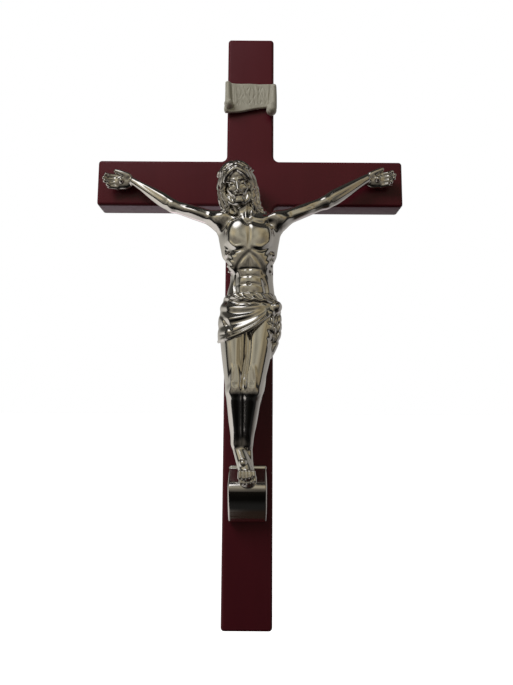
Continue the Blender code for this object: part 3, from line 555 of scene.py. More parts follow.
def carve_body_lines(clay):
    """Grooves that edge chest and belly and part ribs and thighs, the pit of the throat and the navel."""
    for points, width, height in BODY_LINES:
        clay.line(points, width, height, low_y=10.5, high_y=24)
    for side in (-1, 1):
        for step, top in enumerate(RIB_TOPS):
            inner = 7.2 + 0.5 * step
            shift = 0.5 + 0.1 * step
            ends = ((11.6, -0.4), (inner + 2.4, -1.6), (inner, -3.4))
            clay.line([(side * x + shift, top + z) for x, z in ends], 0.65, -0.4, low_y=8.0, high_y=24)
    clay.carve(ball((0.0, 17.4, -57.0), (0.8, 1.3, 1.0)), 0.4)
    clay.line(((-2.8, -25.6), (-0.8, -27.6), (1.4, -25.6)), 0.9, -0.6, low_y=9.0, high_y=20)
    clay.line(((0.6, -81.0), (0.0, -91.0), (-1.4, -101.0)), 0.9, -0.9, low_y=14.0, high_y=30)


def carve_cloth_folds(clay):
    for points in CLOTH_FOLDS:
        clay.line(points, 1.6, -0.85, low_y=9.5, high_y=26)


def add_footrest(clay):
    """The block under the feet. Its top slopes down to a lip, and its bulging front falls back."""
    half_width, middle, foot = 9.0, 0.1, -168.8
    top, top_rise = math.radians(29.5), -142.9
    front_y, front_z, front_radius = -19.6, -144.8, 32.9

    def distance(p):
        above = (p[2] - top_rise) * math.cos(top) + p[1] * math.sin(top)
        before = np.sqrt((p[1] - front_y) ** 2 + (p[2] - front_z) ** 2) - front_radius
        beside = np.abs(p[0] - middle) - half_width
        below = foot - p[2]
        shape = -smooth_least(-above, -before, 3.2)
        shape = -smooth_least(-shape, -beside, 1.0)
        return -smooth_least(-shape, -below, 0.8)

    low, high = (middle - half_width, 0.0, foot), (middle + half_width, 14.6, -142.0)
    clay.join((low, high, distance), 0.4)
    clay.join(limb((middle - 7.9, 0.9, -143.6), (middle + 7.9, 0.9, -143.6), (1.1, 1.1)), 0.6)


def flatten_back(clay, low, high):
    """Cuts off whatever lies behind the cross's face."""
    clay.step(low, high, 0.0, lambda p, v: np.maximum(v, -p[1]))


def figure(low, high):
    clay = Clay()
    bare = (add_torso, add_arms, add_legs, carve_body_lines)
    dressed = (add_loincloth, carve_cloth_folds, add_knot, add_head, add_footrest, add_feet)
    for work in bare + dressed:
        work(clay)
    flatten_back(clay, low, high)
    return clay


# Scroll


def scroll(low, high):
    """A sheet whose upright edges roll forward. The right roll hangs below the sheet."""
    clay = Clay()
    top = np.array([(-13.6, 9.6), (-9.0, 9.1), (2.0, 8.9), (13.8, 8.3)])
    bottom = np.array([(-13.6, -7.3), (-8.0, -7.2), (0.0, -5.7), (8.0, -4.4), (13.8, -4.0)])

    def sheet(p):
        middle = 1.0 + 0.5 * (p[0] / 13.0) ** 2 + 0.12 * np.cos(0.55 * p[0] + 0.1 * p[2])
        over = p[2] - eased(p[0], top[:, 0], top[:, 1])
        under = eased(p[0], bottom[:, 0], bottom[:, 1]) - p[2]
        beside = np.abs(p[0]) - 13.2
        rim = np.maximum(np.maximum(over, under), beside)
        return -smooth_least(-rim, -(np.abs(p[1] - middle) - 0.85), 0.8)

    clay.join(((-13.6, 0.0, -8.0), (13.8, 2.8, 10.0), sheet), 0.3)
    left = (1.2, 1.4, 1.7)
    clay.join(limb((-11.9, 1.8, 8.8), (-11.5, 2.0, -1.6), left), 0.7)
    clay.join(ball((-11.3, 2.8, -3.2), (2.4, 2.4, 2.4)), 0.4)
    clay.join(ball((-12.6, 1.6, -5.4), (1.3, 1.3, 2.0)), 0.5)
    right = [(0, 1.4), (0.4, 1.7), (1, 1.9)]
    clay.join(limb((12.1, 1.6, 7.0), (11.9, 2.0, -4.6), right), 0.8)
    clay.join(limb((11.0, 2.3, -4.4), (10.9, 2.8, -6.6), (2.2, 2.7)), 0.4)
    clay.line(((-9.9, 8.0), (-9.7, 3.0), (-9.4, -3.0)), 0.5, -0.45, low_y=0.8, high_y=6.0)
    clay.line(((10.2, 7.4), (9.8, 2.0), (9.4, -3.4)), 0.5, -0.35, low_y=0.8, high_y=6.0)
    flatten_back(clay, low, high)
    return clay


# Fine carving that the plain solids leave out


def carve_chest(clay):
    """Ribs, cords of the neck, the hollow under one collarbone and the edges of chest and belly."""
    for side in (-1, 1):
        for step in range(4):
            middle = (side * (9.9 - 0.5 * step) + 0.6, 12.8, -41.4 - 2.7 * step)
            clay.join(ball(middle, (2.6, 1.4, 0.95), (0, side * 30, 0)), 0.6)
        clay.line(((side * 1.6, -18.6), (side * 1.7, -22.6), (side * 0.9 - 0.4, -26.2)), 0.8, 0.5, 9.0, 20)
    clay.line(((1.8, -26.8), (6.4, -27.6), (11.2, -26.6)), 1.5, -1.1, 9.0, 22)
    clay.line(((-10.0, -36.4), (-6.8, -39.2), (-3.0, -39.0)), 0.7, 0.35, 10.0, 22)
    clay.line(((2.0, -39.0), (6.0, -39.4), (9.6, -36.6)), 0.7, 0.35, 10.0, 22)
    clay.line(((-6.0, -57.6), (0.6, -57.0), (7.4, -57.6)), 0.6, -0.3, 10.0, 22)


def carve_arms(clay):
    """The long muscles of the upper arms and forearms."""
    for side in (-1, 1):
        lift = 0.0 if side < 0 else 1.0
        clay.join(ball((side * 25.0, 11.0, -20.4 + 0.4 * lift), (6.4, 2.0, 1.8), (0, side * -19, 0)), 1.4)
        upper = ((side * 17.0, -22.6), (side * 26.0, -19.2), (side * 34.0, lift - 16.4))
        clay.line(upper, 0.9, -0.3, 8.0, 20)
        lower = ((side * 40.5, lift - 15.0), (side * 48.0, lift - 9.6), (side * 56.0, lift - 3.4))
        clay.line(lower, 0.7, -0.3, 6.0, 18)


def carve_legs(clay):
    """The tendons above the knees and the thigh's long muscle."""
    for x in (-5.6, 1.8):
        clay.join(ball((x, 20.2, -106.4), (2.6, 1.8, 3.2)), 0.8)
        for across in (-1.7, 1.7):
            path = ((x + 0.6 * across, -96.0), (x + across, -101.0), (x + across, -106.0))
            clay.line(path, 0.7, 0.35, 14.0, 28)
    clay.line(((-3.9, -83.0), (-3.8, -92.0), (-3.6, -101.0)), 0.9, -0.25, 14.0, 30)


def carve_fine_folds(clay):
    """The twisted waist, ridges between the deep folds, the hem's second line and the hanging end."""
    for step in range(5):
        x = -10.6 + 4.4 * step
        clay.line(((x, -62.0), (x + 2.4, -64.2), (x + 5.6, -66.2)), 1.0, -0.7, 8.0, 26)
    folds = (
        (((-12.6, -73.6), (-6.0, -74.0), (0.4, -72.4), (7.6, -69.4)), 0.9, 0.35),
        (((-13.6, -71.4), (-10.4, -75.4), (-7.4, -81.0)), 0.9, -0.5),
        (((-13.0, -81.3), (-8.0, -81.1), (-2.3, -78.8), (5.0, -74.8), (10.4, -69.5)), 0.45, -0.4),
        (((14.4, -71.0), (13.8, -77.0), (12.6, -83.0), (10.6, -89.0)), 0.5, -0.6),
        (((12.6, -70.6), (11.8, -76.0), (11.6, -81.0), (9.8, -86.6)), 0.5, -0.6),
    )
    for points, width, height in folds:
        clay.line(points, width, height, 8.0, 26)
    for z in (-72.5, -76.5, -80.5, -84.5):
        clay.line(((9.4, z + 1.4), (12.2, z - 0.4), (15.6, z + 1.8)), 0.6, -0.6, 7.0, 22)


def scaled_to_one(rows):
    return rows / np.linalg.norm(rows, axis=1)[:, None]


def comb_crown(clay):
    """Wavy strands that leave the parting and lie over the top of the head."""
    put, _ = head_tools(clay)
    centre, radii = np.array(CAP_CENTRE), np.array(CAP_RADII)
    share = np.linspace(0, 1, 15)[:, None]
    for side in (-1, 1):
        for step in range(9):
            rise = math.radians(34 + 13 * step)
            start = np.array([side * 0.06, math.cos(rise), math.sin(rise)])
            end = np.array([side, 0.75 * math.cos(rise), -0.1 + 0.1 * math.sin(rise)])
            toward = (1 - share) * start + share * end
            toward[:, 1] += 0.035 * np.sin(2 * math.pi * (2.2 * share[:, 0] + 0.31 * step))
            path = centre + radii * scaled_to_one(toward) * 0.985
            put(rope(path, 0.62, 0.4), 0.2)


def comb_hair(clay):
    """Fine strands wound along each lock."""
    put, _ = head_tools(clay)
    for points, thickness in HAIR_LOCKS:
        path = curve_through(points, 6)
        ahead = scaled_to_one(np.gradient(path, axis=0))
        aside = scaled_to_one(np.cross(ahead, np.array([0.0, 0.0, 1.0]) + 0.2 * ahead))
        front = np.cross(aside, ahead)
        share = np.linspace(0, 1, len(path))[:, None]
        for turnwise in np.linspace(0, 2 * math.pi, 6)[:-1]:
            angle = turnwise + 3.4 * share + 0.5 * np.sin(14 * share)
            reach = thickness * (1.0 - 0.35 * np.abs(2 * share - 1) ** 2) * 0.92
            wound = path + reach * (np.cos(angle) * aside + np.sin(angle) * front)
            put(rope(wound, 0.34), 0.18)


def carve_face(clay):
    """Closed lids, brows, lips and a short waved beard from the canon of the head, and the thorns."""
    put, cut = head_tools(clay)
    for side in (-1, 1):
        x, half = side * EYE_WIDTH, 0.5 * EYE_WIDTH
        cut(strand([(x - half, 7.3, -0.45), (x, 7.9, -0.85), (x + half, 7.0, -0.45)], 0.16, 0.4), 0.15)
        put(strand([(x - half, 6.8, -0.8), (x, 7.3, -1.2), (x + half, 6.6, -0.8)], 0.22, 0.4), 0.25)
        brow = [(side, 8.0, BROW), (x, 7.7, BROW + 0.45), (1.6 * x, 6.5, BROW - 0.1)]
        put(strand(brow, 0.3, 0.5), 0.4)
        cut(ball((side * 0.26 * EYE_WIDTH, 8.7, NOSE_BASE + 0.15), (0.3, 0.45, 0.22)), 0.2)
        for wave in range(5):
            top, reach = MOUTH - 0.7 + 0.25 * wave, 0.35 + 0.8 * wave
            path = [
                (side * reach, 8.2 - 0.55 * wave, top),
                (side * (reach + 0.35), 8.1 - 0.6 * wave, 0.5 * (top + CHIN)),
                (side * (0.75 * reach), 7.5 - 0.6 * wave, CHIN + 0.1 + 0.25 * wave),
            ]
            put(strand(path, 0.42, 0.5), 0.25)
    lips = 0.5 * EYE_WIDTH
    for ends, middle, out, thickness in ((0.3, 0.45, 8.15, 0.3), (-0.35, -0.5, 8.1, 0.34)):
        lip = [(-lips, 7.8, MOUTH + ends), (0, out, MOUTH + middle), (lips, 7.8, MOUTH + ends)]
        put(strand(lip, thickness, 0.6), 0.25)
    for around in np.linspace(0.2, 2 * math.pi, 13)[:-1]:
        root = np.array([8.5 * math.sin(around), 9.2 * math.cos(around) - CROWN_BACK, CROWN_RISE])
        thorn = np.array([math.sin(around + 0.9), math.cos(around + 0.9), math.cos(3 * around)])
        put(limb(root, root + 0.7 * thorn, (0.5, 0.25)), 0.2)


def carve_scroll(clay):
    """Rows of short slanted cuts over the faint upright grain of old parchment."""
    for row, z in enumerate((5.6, 1.9, -1.8)):
        for mark in range(9):
            x = -7.2 + 1.85 * mark + 0.5 * math.sin(2.3 * mark + row)
            lean = 0.7 * math.sin(1.7 * mark + 2.1 * row)
            clay.line(((x - lean, z + 1.2), (x, z), (x + lean, z - 1.1)), 0.34, -0.16, 0.9, 5.0)
    for strip in range(26):
        x = -9.2 + 0.73 * strip
        z = 2.0 + 1.6 * math.sin(2.9 * strip)
        rise = 0.08 * math.sin(4.1 * strip)
        clay.line(((x + 0.5, z + 3.6), (x, z), (x + 0.3, z - 3.6)), 0.26, rise, 0.9, 5.0)
    for x, z, reach in ((-3.6, 4.0, 3.4), (3.2, 5.0, 3.0), (6.0, 0.6, 2.6), (-1.4, -1.2, 2.4)):
        clay.line(((x - 0.7, z + reach), (x + 0.1, z), (x + 1.3, z - reach)), 0.5, 0.22, 0.9, 5.0)


TRIM = 0.03


def keep_within(clay, box, unit, place, low, high):
    """Trims a casting to the corners, in metres, of the solid that it stands for, and by TRIM units more."""
    near = [(low[0] - place[0]) / unit, (place[1] - high[1]) / unit, (low[2] - place[2]) / unit]
    far = [(high[0] - place[0]) / unit, (place[1] - low[1]) / unit, (high[2] - place[2]) / unit]

    def change(p, value):
        for axis in range(3):
            inside = np.maximum(near[axis] + TRIM - p[axis], p[axis] - far[axis] + TRIM)
            value = np.maximum(value, inside)
        return value

    clay.step(*box, 0.0, change)


def fine_figure(low, high):
    clay = figure(low, high)
    for work in (carve_chest, carve_arms, carve_legs, carve_fine_folds, comb_crown, comb_hair, carve_face):
        work(clay)
    flatten_back(clay, low, high)
    return clay


def fine_scroll(low, high):
    clay = scroll(low, high)
    carve_scroll(clay)
    flatten_back(clay, low, high)
    return clay


# Wood


ROUND_STEPS = 8
EDGE_STEPS = 6
HOLE_SIDES = 48
HOLE_EASE = 0.0007
DRILL_START = -0.002


def cross_outline(size, inset):
    """Corner arcs of the cross as (x, z) points, drawn in from its outline by inset."""
    half, arm = size.bar_width / 2, CROSS_HIGH[0]
    top, foot = CROSS_HIGH[2], CROSS_LOW[2]
    corners = [
        (-half, foot, 1), (half, foot, 1), (half, -half, -1),
        (arm, -half, 1), (arm, half, 1), (half, half, -1),
        (half, top, 1), (-half, top, 1), (-half, half, -1),
        (-arm, half, 1), (-arm, -half, 1), (-half, -half, -1),
    ]  # fmt: skip
    points = []
    for i, (x, z, kind) in enumerate(corners):
        before, after = np.array(corners[i - 1][:2]), np.array(corners[(i + 1) % len(corners)][:2])
        here = np.array((x, z))
        arrive = (here - before) / np.linalg.norm(here - before)
        leave = (after - here) / np.linalg.norm(after - here)
        radius = size.corner_radius if kind > 0 else size.inner_fillet
        centre = here + radius * (leave - arrive)
        for step in range(ROUND_STEPS + 1):
            angle = math.pi / 2 * step / ROUND_STEPS
            ray = (arrive * math.sin(angle) - leave * math.cos(angle)) * (radius - kind * inset)
            points.append(centre + ray)
    return points


def skin_over(name, rings):
    """A closed mesh over rings of points, with a flat face at each end."""
    made = bmesh.new()
    loops = [[made.verts.new(point) for point in ring] for ring in rings]
    for near, far in zip(loops, loops[1:]):
        for i in range(len(near)):
            j = (i + 1) % len(near)
            made.faces.new((near[i], near[j], far[j], far[i]))
    made.faces.new(loops[-1])
    made.faces.new(list(reversed(loops[0])))
    bmesh.ops.recalc_face_normals(made, faces=made.faces)
    return mesh_from(made, name)


def cross_mesh(size):
    """The outline, swept from back to front through the rounded long edges."""
    angles = [math.pi / 2 * i / EDGE_STEPS for i in range(EDGE_STEPS + 1)]
    edge = [(size.edge_round * (1 - math.sin(a)), size.edge_round * (1 - math.cos(a))) for a in angles]
    levels = [(CROSS_HIGH[1] - rise, inset) for rise, inset in reversed(edge)]
    levels += [(CROSS_LOW[1] + rise, inset) for rise, inset in edge]
    rings = [[(x, y, z) for x, z in cross_outline(size, inset)] for y, inset in levels]
    return skin_over("painted_cross", rings)


def drill_hole(cross, size):
    """Cuts the blind hanging hole into the back, with an eased mouth."""
    radius = size.hole_diameter / 2
    mouth = radius + HOLE_EASE
    profile = ((mouth, DRILL_START), (mouth, 0.0), (radius, HOLE_EASE), (radius, size.hole_depth))
    around = [2 * math.pi * i / HOLE_SIDES for i in range(HOLE_SIDES)]
    circle = [(math.cos(a), math.sin(a)) for a in around]
    rings = [[(r * x, -inward, size.hole_rise + r * z) for x, z in circle] for r, inward in profile]
    drill = bpy.data.objects.new("hole_drill", skin_over("hole_drill", rings))
    bpy.context.scene.collection.objects.link(drill)
    cut = cross.modifiers.new("hanging hole", "BOOLEAN")
    cut.operation = "DIFFERENCE"
    cut.solver = "EXACT"
    cut.object = drill
    bpy.context.view_layer.update()
    cut_mesh = bpy.data.meshes.new_from_object(cross.evaluated_get(bpy.context.evaluated_depsgraph_get()))
    cross.modifiers.clear()
    cross.data = cut_mesh
    bpy.data.objects.remove(drill, do_unlink=True)


# Finishes


def feed(tree, made, inputs):
    """Gives each named input of a node its value, or links it where the value is another node's output."""
    for name, value in inputs.items():
        if isinstance(value, bpy.types.NodeSocket):
            tree.links.new(value, made.inputs[name])
        else:
            made.inputs[name].default_value = value


def node(tree, kind, inputs=None, **settings):
    """Adds a node with its own settings and its inputs."""
    made = tree.nodes.new(kind)
    for name, value in settings.items():
        setattr(made, name, value)
    feed(tree, made, inputs or {})
    return made


def noise(tree, place, scale, detail, roughness):
    inputs = {"Vector": place, "Scale": scale, "Detail": detail, "Roughness": roughness}
    return node(tree, "ShaderNodeTexNoise", inputs).outputs["Fac"]


def range_of(tree, value, low, high, to_low=0.0, to_high=1.0):
    inputs = {"Value": value, "From Min": low, "From Max": high, "To Min": to_low, "To Max": to_high}
    return node(tree, "ShaderNodeMapRange", inputs).outputs["Result"]


def mixed(tree, mask, low, high, blend="MIX"):
    """Mixes two colours by a mask. Each is three numbers or a node's output."""
    low, high = (c if isinstance(c, bpy.types.NodeSocket) else (*c, 1.0) for c in (low, high))
    inputs = {"Factor": mask, "A": low, "B": high}
    return node(tree, "ShaderNodeMix", inputs, data_type="RGBA", blend_type=blend).outputs["Result"]


def surface_variation():
    """A shader group: soft cloudy change and fine grain over a surface, as two masks and a height."""
    found = bpy.data.node_groups.get("Surface Variation")
    if found:
        return found
    group = bpy.data.node_groups.new("Surface Variation", "ShaderNodeTree")
    for name, default in (("Cloud Size", 40.0), ("Grain Size", 900.0), ("Stretch", 1.0)):
        socket = group.interface.new_socket(name, in_out="INPUT", socket_type="NodeSocketFloat")
        socket.default_value = default
    for name in ("Cloud", "Grain", "Height"):
        group.interface.new_socket(name, in_out="OUTPUT", socket_type="NodeSocketFloat")
    asked = node(group, "NodeGroupInput").outputs
    place = node(group, "ShaderNodeTexCoord").outputs["Object"]
    squeeze = node(group, "ShaderNodeCombineXYZ", {"X": 1.0, "Y": 1.0, "Z": asked["Stretch"]}).outputs[0]
    scaled = node(group, "ShaderNodeVectorMath", {0: place, 1: squeeze}, operation="MULTIPLY").outputs[0]
    cloud = noise(group, scaled, asked["Cloud Size"], 4.0, 0.6)
    grain = noise(group, scaled, asked["Grain Size"], 3.0, 0.55)
    both = node(group, "ShaderNodeMath", {0: cloud, 1: grain}, operation="ADD").outputs[0]
    node(group, "NodeGroupOutput", {"Cloud": cloud, "Grain": grain, "Height": both})
    return group


def varied(tree, cloud, grain, stretch=1.0):
    """The outputs Cloud, Grain and Height of the group above."""
    inputs = {"Cloud Size": cloud, "Grain Size": grain, "Stretch": stretch}
    return node(tree, "ShaderNodeGroup", inputs, node_tree=surface_variation()).outputs


def bent(tree, low, high, to_low, to_high):
    """A mask from how far the surface bends: low in hollows and high on edges."""
    shape = node(tree, "ShaderNodeNewGeometry")
    return range_of(tree, shape.outputs["Pointiness"], low, high, to_low, to_high)


def bump(tree, height, strength, distance):
    inputs = {"Height": height, "Strength": strength, "Distance": distance}
    return node(tree, "ShaderNodeBump", inputs).outputs["Normal"]


def shade(colour, by):
    return tuple(by * c for c in colour)


def finish(name):
    made = bpy.data.materials.new(name)
    made.use_nodes = True
    return made, made.node_tree, made.node_tree.nodes["Principled BSDF"]


def stained_wood(size):
    """Dark red satin stain over fine-grained board, with a painted highlight that lightens its rounded edges.
    """
    made, tree, shader = finish("satin_red_stain")
    cloud, grain, _ = varied(tree, 26.0, 420.0, 0.22)
    stain = mixed(tree, range_of(tree, cloud, 0.3, 0.7), shade(size.stain, 0.86), shade(size.stain, 1.12))
    looks = {
        # Painted highlight: where the surface bends most, on the rounded edges, the stain is painted a lighter
        # red.
        "Base Color": mixed(tree, bent(tree, 0.52, 0.62, 0.0, 0.35), stain, shade(size.stain, 1.9)),
        "Roughness": range_of(tree, grain, 0.3, 0.7, 0.30, 0.40),
        "Specular IOR Level": 0.34,
        "Normal": bump(tree, grain, 0.06, 0.0002),
    }
    feed(tree, shader, looks)
    return made


def bright_plating(size):
    """Polished plating over a casting: bright and faintly warm, with painted shade darkening its hollows."""
    made, tree, shader = finish("bright_plating")
    cloud, _, height = varied(tree, 60.0, 1500.0)
    looks = {
        # Painted shade: the hollows of the figure take a darker plating colour.
        "Base Color": mixed(tree, bent(tree, 0.40, 0.50, 1.0, 0.0), size.tint, shade(size.tint, 0.45)),
        "Metallic": 1.0,
        "Roughness": range_of(tree, cloud, 0.3, 0.7, 0.10, 0.17),
        "Normal": bump(tree, height, 0.05, 0.0001),
    }
    feed(tree, shader, looks)
    return made


def dull_casting(size):
    """Grey cast metal with a matt, slightly pitted skin, and painted shade darkening its hollows."""
    made, tree, shader = finish("dull_casting")
    cloud, _, height = varied(tree, 160.0, 1300.0)
    looks = {
        # Painted shade: the scroll's hollows and cuts take a darker grey.
        "Base Color": mixed(tree, bent(tree, 0.44, 0.60, 0.0, 1.0), shade(size.tint, 0.5), size.tint),
        "Metallic": 0.4,
        "Roughness": range_of(tree, cloud, 0.3, 0.7, 0.50, 0.62),
        "Normal": bump(tree, height, 0.25, 0.0002),
    }
    feed(tree, shader, looks)
    return made


# Sizes and colours


class CrossSettings(bpy.types.PropertyGroup):
    bar_width: FloatProperty(
        name="Bar Width", description="Width of both bars of the cross", default=0.0243, unit="LENGTH"
    )
    corner_radius: FloatProperty(
        name="Corner Radius", description="Rounding of the outer corners", default=0.0017, unit="LENGTH"
    )
    inner_fillet: FloatProperty(
        name="Inner Fillet", description="Rounding where the bars meet", default=0.0030, unit="LENGTH"
    )
    edge_round: FloatProperty(
        name="Edge Round", description="Rounding of the long edges", default=0.0015, unit="LENGTH"
    )
    hole_diameter: FloatProperty(
        name="Hole Diameter", description="Diameter of the hanging hole", default=0.0080, unit="LENGTH"
    )
    hole_depth: FloatProperty(
        name="Hole Depth", description="Depth of the hanging hole", default=0.0060, unit="LENGTH"
    )
    hole_rise: FloatProperty(
        name="Hole Rise", description="Its height above the crossing", default=0.0480, unit="LENGTH"
    )
    stain: FloatVectorProperty(
        name="Stain", description="Colour of the wood stain", default=(0.105, 0.011, 0.019), subtype="COLOR"
    )


class FigureSettings(bpy.types.PropertyGroup):
    height: FloatProperty(
        name="Figure Height", description="From the top of the head to the toes", default=0.155, unit="LENGTH"
    )
    grain: FloatProperty(name="Grain", description="Cell of the field, in the casting's units", default=0.3)
    triangles: IntProperty(name="Triangles", description="Most triangles in the casting", default=190000)
    tint: FloatVectorProperty(
        name="Plating", description="Colour of the plating", default=(0.83, 0.80, 0.74), subtype="COLOR"
    )


class ScrollSettings(bpy.types.PropertyGroup):
    width: FloatProperty(
        name="Scroll Width", description="Width over both rolls", default=0.0276, unit="LENGTH"
    )
    rise: FloatProperty(
        name="Scroll Rise", description="Its height above the crossing", default=0.0450, unit="LENGTH"
    )
    grain: FloatProperty(name="Grain", description="Cell of the field, in the casting's units", default=0.16)
    triangles: IntProperty(name="Triangles", description="Most triangles in the casting", default=120000)
    tint: FloatVectorProperty(
        name="Grey Metal", description="Colour of the cast metal", default=(0.86, 0.83, 0.70), subtype="COLOR"
    )


class StageSettings(bpy.types.PropertyGroup):
    camera_place: FloatVectorProperty(
        name="Camera Place", description="Where it stands", default=(0.0039, -0.2598, -0.11225), unit="LENGTH"
    )
    camera_pitch: FloatProperty(
        name="Camera Pitch", description="How far it looks up", default=math.radians(6.75), unit="ROTATION"
    )
    camera_roll: FloatProperty(
        name="Camera Roll", description="How far it leans", default=math.radians(0.36), unit="ROTATION"
    )
    camera_lens: FloatProperty(name="Lens", description="Focal length", default=26.28, unit="CAMERA")
    floor_drop: FloatProperty(
        name="Floor Drop", description="Gap between the cross and the floor", default=0.06, unit="LENGTH"
    )
    key_power: FloatProperty(name="Key Light", description="Power of the lamp", default=1.6, unit="POWER")


class CrucifixSettings(bpy.types.PropertyGroup):
    cross: PointerProperty(type=CrossSettings)
    figure: PointerProperty(type=FigureSettings)
    scroll: PointerProperty(type=ScrollSettings)
    stage: PointerProperty(type=StageSettings)


# Pieces


FIGURE_BOX = ((-80.0, -1.0, -172.0), (80.0, 28.0, 10.0))
SCROLL_BOX = ((-15.0, -1.0, -11.0), (15.0, 7.0, 12.0))


def show(name, mesh, material):
    piece = bpy.data.objects.new(name, mesh)
    bpy.context.scene.collection.objects.link(piece)
    mesh.materials.clear()
    mesh.materials.append(material)
    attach(piece, "root")
    return piece


def cast(name, clay, box, unit, place, corners, size, material):
    """Shows the clay, trimmed to its solid's corners and with at most size.triangles."""
    keep_within(clay, box, unit, place, *corners)
    mesh = clay.mesh(name, *box, size.grain, unit, place)
    mesh.polygons.foreach_set("use_smooth", [True] * len(mesh.polygons))
    piece = show(name, mesh, material)
    share = size.triangles / (2 * len(mesh.polygons))
    if share < 1:
        piece.modifiers.new("fewer faces", "DECIMATE").ratio = share
    return piece


class CRUCIFIX_OT_cross(bpy.types.Operator):
    """Models the stained wooden cross with rounded edges and its hanging hole"""

    bl_idname = "crucifix.cross"
    bl_label = "Cross"

    def execute(self, context):
        size = context.scene.crucifix.cross
        cross = show("stained_cross", cross_mesh(size), stained_wood(size))
        drill_hole(cross, size)
        cross.data.shade_smooth()
        cross.data.set_sharp_from_angle(angle=math.radians(30))
        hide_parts("cross")
        return {"FINISHED"}


class CRUCIFIX_OT_figure(bpy.types.Operator):
    """Sculpts the plated figure and its footrest"""

    bl_idname = "crucifix.figure"
    bl_label = "Figure"

    def execute(self, context):
        size = context.scene.crucifix.figure
        unit, place = size.height / FIGURE_UNITS, (0, FIGURE_HIGH[1], 0)
        clay, corners, plating = fine_figure(*FIGURE_BOX), (FIGURE_LOW, FIGURE_HIGH), bright_plating(size)
        piece = cast("plated_figure", clay, FIGURE_BOX, unit, place, corners, size, plating)
        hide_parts("corpus")
        return {"FINISHED"}


class CRUCIFIX_OT_scroll(bpy.types.Operator):
    """Sculpts the small grey scroll above the head"""

    bl_idname = "crucifix.scroll"
    bl_label = "Scroll"

    def execute(self, context):
        size = context.scene.crucifix.scroll
        unit, place = size.width / SCROLL_UNITS, (0, SCROLL_HIGH[1], size.rise)
        clay, corners, grey = fine_scroll(*SCROLL_BOX), (SCROLL_LOW, SCROLL_HIGH), dull_casting(size)
        piece = cast("cast_scroll", clay, SCROLL_BOX, unit, place, corners, size, grey)
        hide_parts("titulus")
        return {"FINISHED"}


# Stage


ROOM_AHEAD = (
    (0.0, (0.004, 0.004, 0.004)),
    (0.20, (0.004, 0.004, 0.004)),
    (0.27, (0.05, 0.045, 0.04)),
    (0.42, (0.13, 0.12, 0.10)),
    (0.52, (0.20, 0.18, 0.15)),
    (0.59, (0.22, 0.20, 0.165)),
    (0.67, (0.36, 0.34, 0.275)),
    (0.82, (0.32, 0.305, 0.255)),
    (0.95, (0.06, 0.056, 0.05)),
)
PAPER_ASIDE = (
    (0.0, (0.022, 0.014, 0.011)),
    (0.04, (0.022, 0.014, 0.011)),
    (0.11, (0.30, 0.285, 0.28)),
    (0.25, (0.56, 0.54, 0.54)),
    (0.50, (0.52, 0.50, 0.48)),
    (0.70, (0.34, 0.33, 0.31)),
    (0.84, (0.06, 0.058, 0.053)),
    (1.0, (0.035, 0.033, 0.030)),
)
FLOOR_REACH = 6.0


def ramp(tree, value, stops):
    """Colours along a value from 0 to 1. Each stop is (value, colour)."""
    made = node(tree, "ShaderNodeValToRGB", {"Fac": value})
    elements = made.color_ramp.elements
    while len(elements) < len(stops):
        elements.new(0.5)
    for element, (position, colour) in zip(elements, stops):
        element.position = position
        element.color = (*colour, 1.0)
    return made.outputs["Color"]


def room_light(world):
    """What the bright metal mirrors: the room ahead with its window, a dark ring about it, pale paper to the
    sides and a pink wall behind. The camera itself sees white."""
    world.use_nodes = True
    tree = world.node_tree
    toward = node(tree, "ShaderNodeTexCoord").outputs["Generated"]
    x, y, z = node(tree, "ShaderNodeSeparateXYZ", {0: toward}).outputs

    def facing(direction):
        made = node(tree, "ShaderNodeVectorMath", {0: toward, 1: direction}, operation="DOT_PRODUCT")
        return made.outputs["Value"]

    def times(a, b):
        return node(tree, "ShaderNodeMath", {0: a, 1: b}, operation="MULTIPLY").outputs[0]

    def brighter(colour, by):
        return node(tree, "ShaderNodeVectorMath", {0: colour, "Scale": by}, operation="SCALE").outputs[0]

    tilted = range_of(tree, facing((-0.30, 0.0, 0.95)), -1.0, 1.0)
    paper = brighter(ramp(tree, tilted, PAPER_ASIDE), range_of(tree, x, -1.0, 1.0, 1.30, 0.50))
    wall = brighter((1.50, 1.22, 1.42), range_of(tree, x, -0.25, 0.22, 1.0, 0.36))
    behind = times(range_of(tree, y, 0.6, 0.85), range_of(tree, z, -0.45, -0.30, 1.0, 0.0))
    ahead = ramp(tree, range_of(tree, z, -1.0, 1.0), ROOM_AHEAD)
    patches = range_of(tree, noise(tree, toward, 1.7, 0.0, 0.4), 0.50, 0.70)
    warm = mixed(tree, patches, ahead, (1.06, 0.95, 0.76), "MULTIPLY")
    clutter = range_of(tree, noise(tree, toward, 3.2, 1.0, 0.5), 0.36, 0.60, 0.62, 1.25)
    room = brighter(warm, times(clutter, range_of(tree, x, -0.4, 0.4, 1.14, 0.78)))
    ringed = mixed(tree, range_of(tree, y, -0.56, -0.44), room, (0.012, 0.012, 0.012))
    around = mixed(tree, range_of(tree, y, -0.28, -0.20), ringed, mixed(tree, behind, paper, wall))
    pane = facing(Vector((-0.30, -0.58, 0.76)).normalized())
    mirrored = mixed(tree, range_of(tree, pane, 0.965, 0.99), around, (1.5, 1.5, 1.55))
    ray = node(tree, "ShaderNodeLightPath")
    seen = mixed(tree, ray.outputs["Is Camera Ray"], mirrored, (1.0, 1.0, 1.0))
    feed(tree, tree.nodes["Background"], {"Color": seen, "Strength": 1.0})


def soft_light(name, place, size, power):
    """A round lamp that shines towards the crossing and isn't mirrored."""
    light = bpy.data.lights.new(name, "AREA")
    light.shape = "DISK"
    light.size = size
    light.energy = power
    lamp = bpy.data.objects.new(name, light)
    bpy.context.scene.collection.objects.link(lamp)
    lamp.location = place
    lamp.visible_glossy = False
    lamp.rotation_euler = (-Vector(place)).to_track_quat("-Z", "Y").to_euler()


